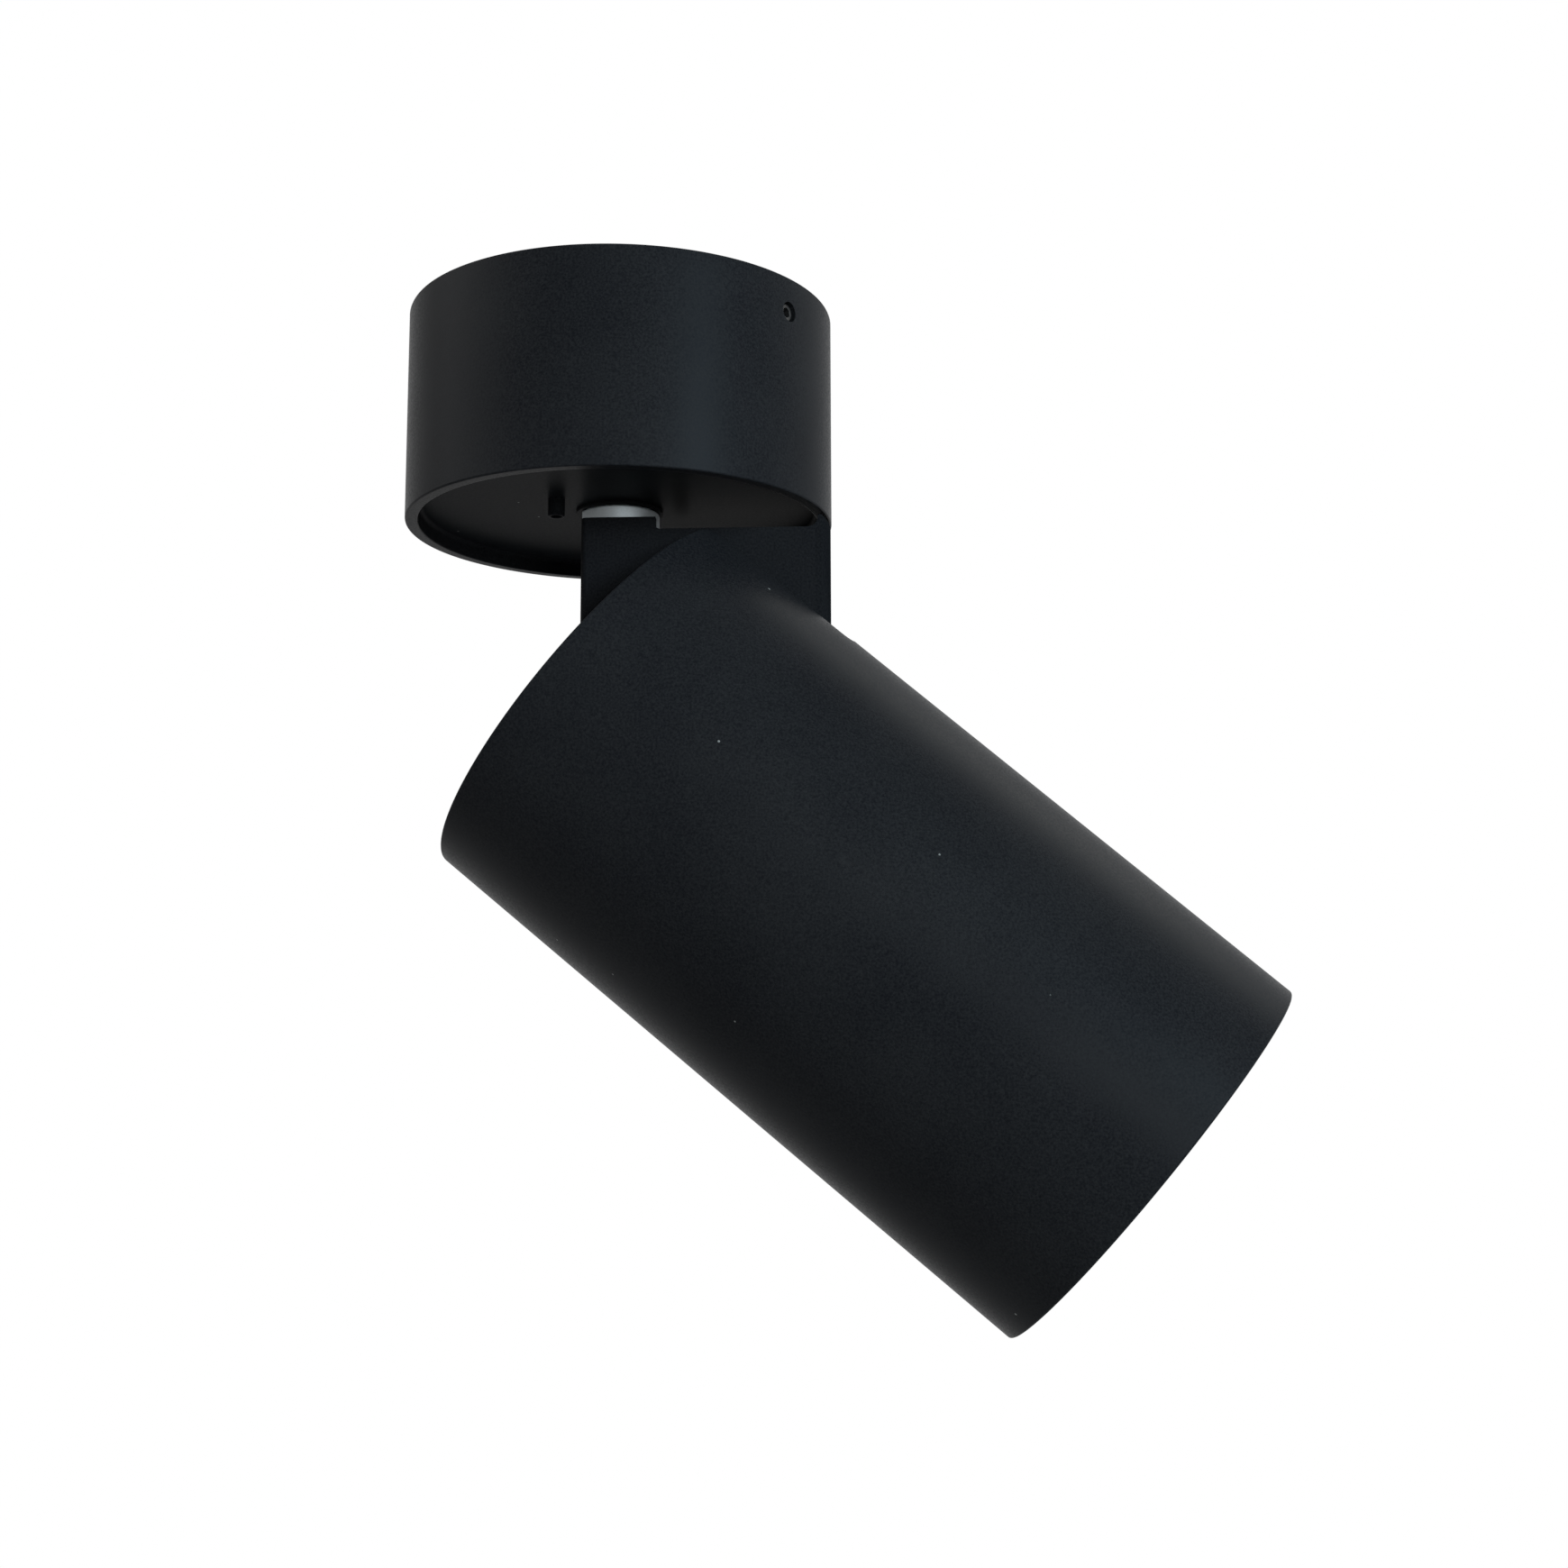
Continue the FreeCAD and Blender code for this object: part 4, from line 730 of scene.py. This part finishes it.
# Painted shade: beyond 48.2 mm from the swivel axis the outer web has no gloss, so it stays dark.
gloss_by_radius(arm_coat_painted_shade, 48.2, 48.5, arm_gloss, 0.0)
finish_piece(arm, "arm", arm_coat_painted_shade, ["swivel_arm"])
for node, slot, metal, name, width in (
        ("arm_cover", "black_steel", oxide, "arm_lid", 0.25),
        ("cover_screws", "black_steel", oxide, "lid_screws", 0.15),
        ("hinge_washers", "black_plastic", slip_plastic, "hinge_slip_washers", 0.1)):
    finish_piece(eased_copy(name, node, width), "arm", metal, [node])

# Hinge: a black steel yoke screwed to the heat sink holds the arm between its two ears. The pin
# is a socket screw with a nut, and spring washers under both give the hinge its friction.
for node, slot, metal, name, width in (
        ("hinge_yoke", "black_steel", oxide, "yoke_bracket", 0.3),
        ("yoke_screws", "zinc_steel", zinc, "yoke_bolts", 0.3),
        ("hinge_pin", "zinc_steel", zinc, "hinge_bolt", 0.3),
        ("hinge_nut", "zinc_steel", zinc, "hinge_lock_nut", 0.3),
        ("hinge_springs", "zinc_steel", zinc, "hinge_spring_washers", 0.15)):
    finish_piece(eased_copy(name, node, width), "lamp", metal, [node])

# Lamp tube: a drawn aluminium tube with the same coat. A slot with rounded inner corners lets the
# arm fold into it. Everything of the lamp is made hanging straight down and then tipped.
tube_outer = 49.5
tube_inner = 46.5
tube_top = -52.5
tube_end = -219.5
above_slot_end = -89
below_slot_end = -97
slot_half = 13.6
slot_end = -94.0
slot_corner = 2.5
lamp_tip = math.radians(-50)


def tip_with_lamp(piece):
    """Tip a piece that was made hanging to the fold of the photograph, about the hinge."""
    turn_piece(piece, "Y", lamp_tip, (hinge_x, 0, hinge_z))


tube = turned_piece(
    "lamp_barrel",
    [(tube_inner, tube_top), (tube_outer, tube_top), (tube_outer, above_slot_end),
     (tube_outer, below_slot_end), (tube_outer, tube_end), (tube_inner, tube_end),
     (tube_inner, below_slot_end), (tube_inner, above_slot_end)],
    rounds=((0, 0.3, 2), (1, 0.5, 3), (4, 0.6, 4), (5, 0.3, 2)), steps=256)
combine(tube, prism("slot", [(-slot_half, -40), (-slot_half, slot_end), (slot_half, slot_end),
                             (slot_half, -40)], "YZ", 20, 60,
                    rounds=((1, slot_corner, 6), (2, slot_corner, 6))))
ease_edges(tube, 0.3, 3, 50)
tip_with_lamp(tube)
finish_piece(tube, "lamp", black_coat, ["lamp_tube"])

# Heat sink: turned aluminium, two plates and a core with twenty-five fins between them, pressed
# into the tube. The light source sits under it in a white holder.
bare_metal = plated_metal("bare_aluminium", (0.62, 0.63, 0.64), (0.55, 0.56, 0.57), 0.38,
                          (1, 1, 6))
for node, slot, finish, name, width in (
        ("heat_sink", "bare_aluminium", bare_metal, "finned_sink", 0.0),
        ("led_chip", "bare_aluminium", bare_metal, "chip_plate", 0.1),
        ("chip_holder", "white_plastic", white_shell, "white_holder", 0.25),
        ("holder_screws", "zinc_steel", zinc, "holder_bolts", 0.15),
        ("glass_gasket", "black_rubber", rubber, "glass_seal", 0.2)):
    finish_piece(eased_copy(name, node, width), "lamp", finish, [node])
phosphor = moulded("yellow_phosphor", (0.85, 0.62, 0.08), (0.90, 0.70, 0.14), 0.25, 0.5, 0.03)
finish_piece(eased_copy("light_spot", "led_emitter", 0.3), "lamp", phosphor,
             ["led_emitter"])

# Reflector: pressed aluminium with a mirror coating. Flat facets in rings break the image of the
# light spot up, so that the beam has no streaks; the flange under the glass is plain.
mirror_bright = (0.88, 0.88, 0.89)
mirror = base_material("faceted_mirror", mirror_bright, 0.1, metallic=1.0)
mirror_place = pattern_place(mirror)
haze = cloudy(mirror, mirror_place, 9.0, 3.0)
to_shader(mirror, between(mirror, haze, 0.07, 0.15), "Roughness")
to_shader(mirror, tinted(mirror, between(mirror, haze, 0, 1), mirror_bright,
                         (0.82, 0.83, 0.85)), "Base Color")
raised(mirror, ((cloudy(mirror, mirror_place, 0.5), 0.006, 0.25),))
flange_radius = 45.5
flange_under = -191.3
flange_top = -190.5
sheet = 0.8
curve = [(35.6, -171.6), (29, -160.26), (21.2, -152.7), (11, -148.5)]
back_curve = [(radius + sheet, level) for radius, level in reversed(curve)]
facets_round = 44
reflector = turned_piece(
    "reflector_cup",
    [(flange_radius, flange_under), (41, flange_under), *curve, *back_curve,
     (41 + sheet, flange_top), (flange_radius, flange_top)],
    rounds=((2, 5, 3), (3, 5, 3), (4, 4, 3), (7, 4, 3), (8, 5, 3), (9, 5, 3)),
    steps=facets_round)
tip_with_lamp(reflector)
finish_piece(reflector, "lamp", mirror, ["reflector"], smooth=1)

# Front glass and glare ring: a clear toughened disc with ground edges, held in the mouth by a
# black stepped ring that keeps the light spot out of sight from the side.
pane = base_material("clear_glass", (0.97, 0.99, 0.98), 0.02)
pane.node_tree.nodes["Principled BSDF"].inputs["Transmission Weight"].default_value = 1.0
pane.node_tree.nodes["Principled BSDF"].inputs["IOR"].default_value = 1.5
smears = cloudy(pane, pattern_place(pane), 18.0, 3.0)
to_shader(pane, between(pane, smears, 0.0, 0.04), "Roughness")
glass_radius = 45.5
glass_top = -192.3
glass_under = -195.3
glass = turned_piece("front_pane", [(0, glass_top), (glass_radius, glass_top),
                                    (glass_radius, glass_under), (0, glass_under)],
                     rounds=((1, 0.4, 2), (2, 0.4, 2)), closed=False, steps=160)
tip_with_lamp(glass)
finish_piece(glass, "lamp", pane, ["front_glass"])
ring_outer = 46.45
ring_inner = 40.4
ring_end = -218.9
ring_steps = 5
step_width = 0.9
step_height = 4.72
first_step = 1.652
ring_line = [(ring_outer, glass_under), (ring_outer, ring_end),
             (ring_inner + step_width * ring_steps, ring_end)]
for step in range(ring_steps, 0, -1):
    level = glass_under - step_height * (step - 1) - first_step
    ring_line.append((ring_inner + step_width * step, level))
    if step > 1:
        ring_line.append((ring_inner + step_width * (step - 1), level))
ring_line.append((ring_inner, glass_under))
matt_black = moulded("matt_black_moulding", (0.012, 0.012, 0.013), (0.017, 0.017, 0.017), 0.6)
glare = turned_piece("stepped_ring", ring_line,
                     rounds=tuple((number, 0.2, 2) for number in range(2, 12)), steps=192)
tip_with_lamp(glare)
finish_piece(glare, "lamp", matt_black, ["glare_ring"])
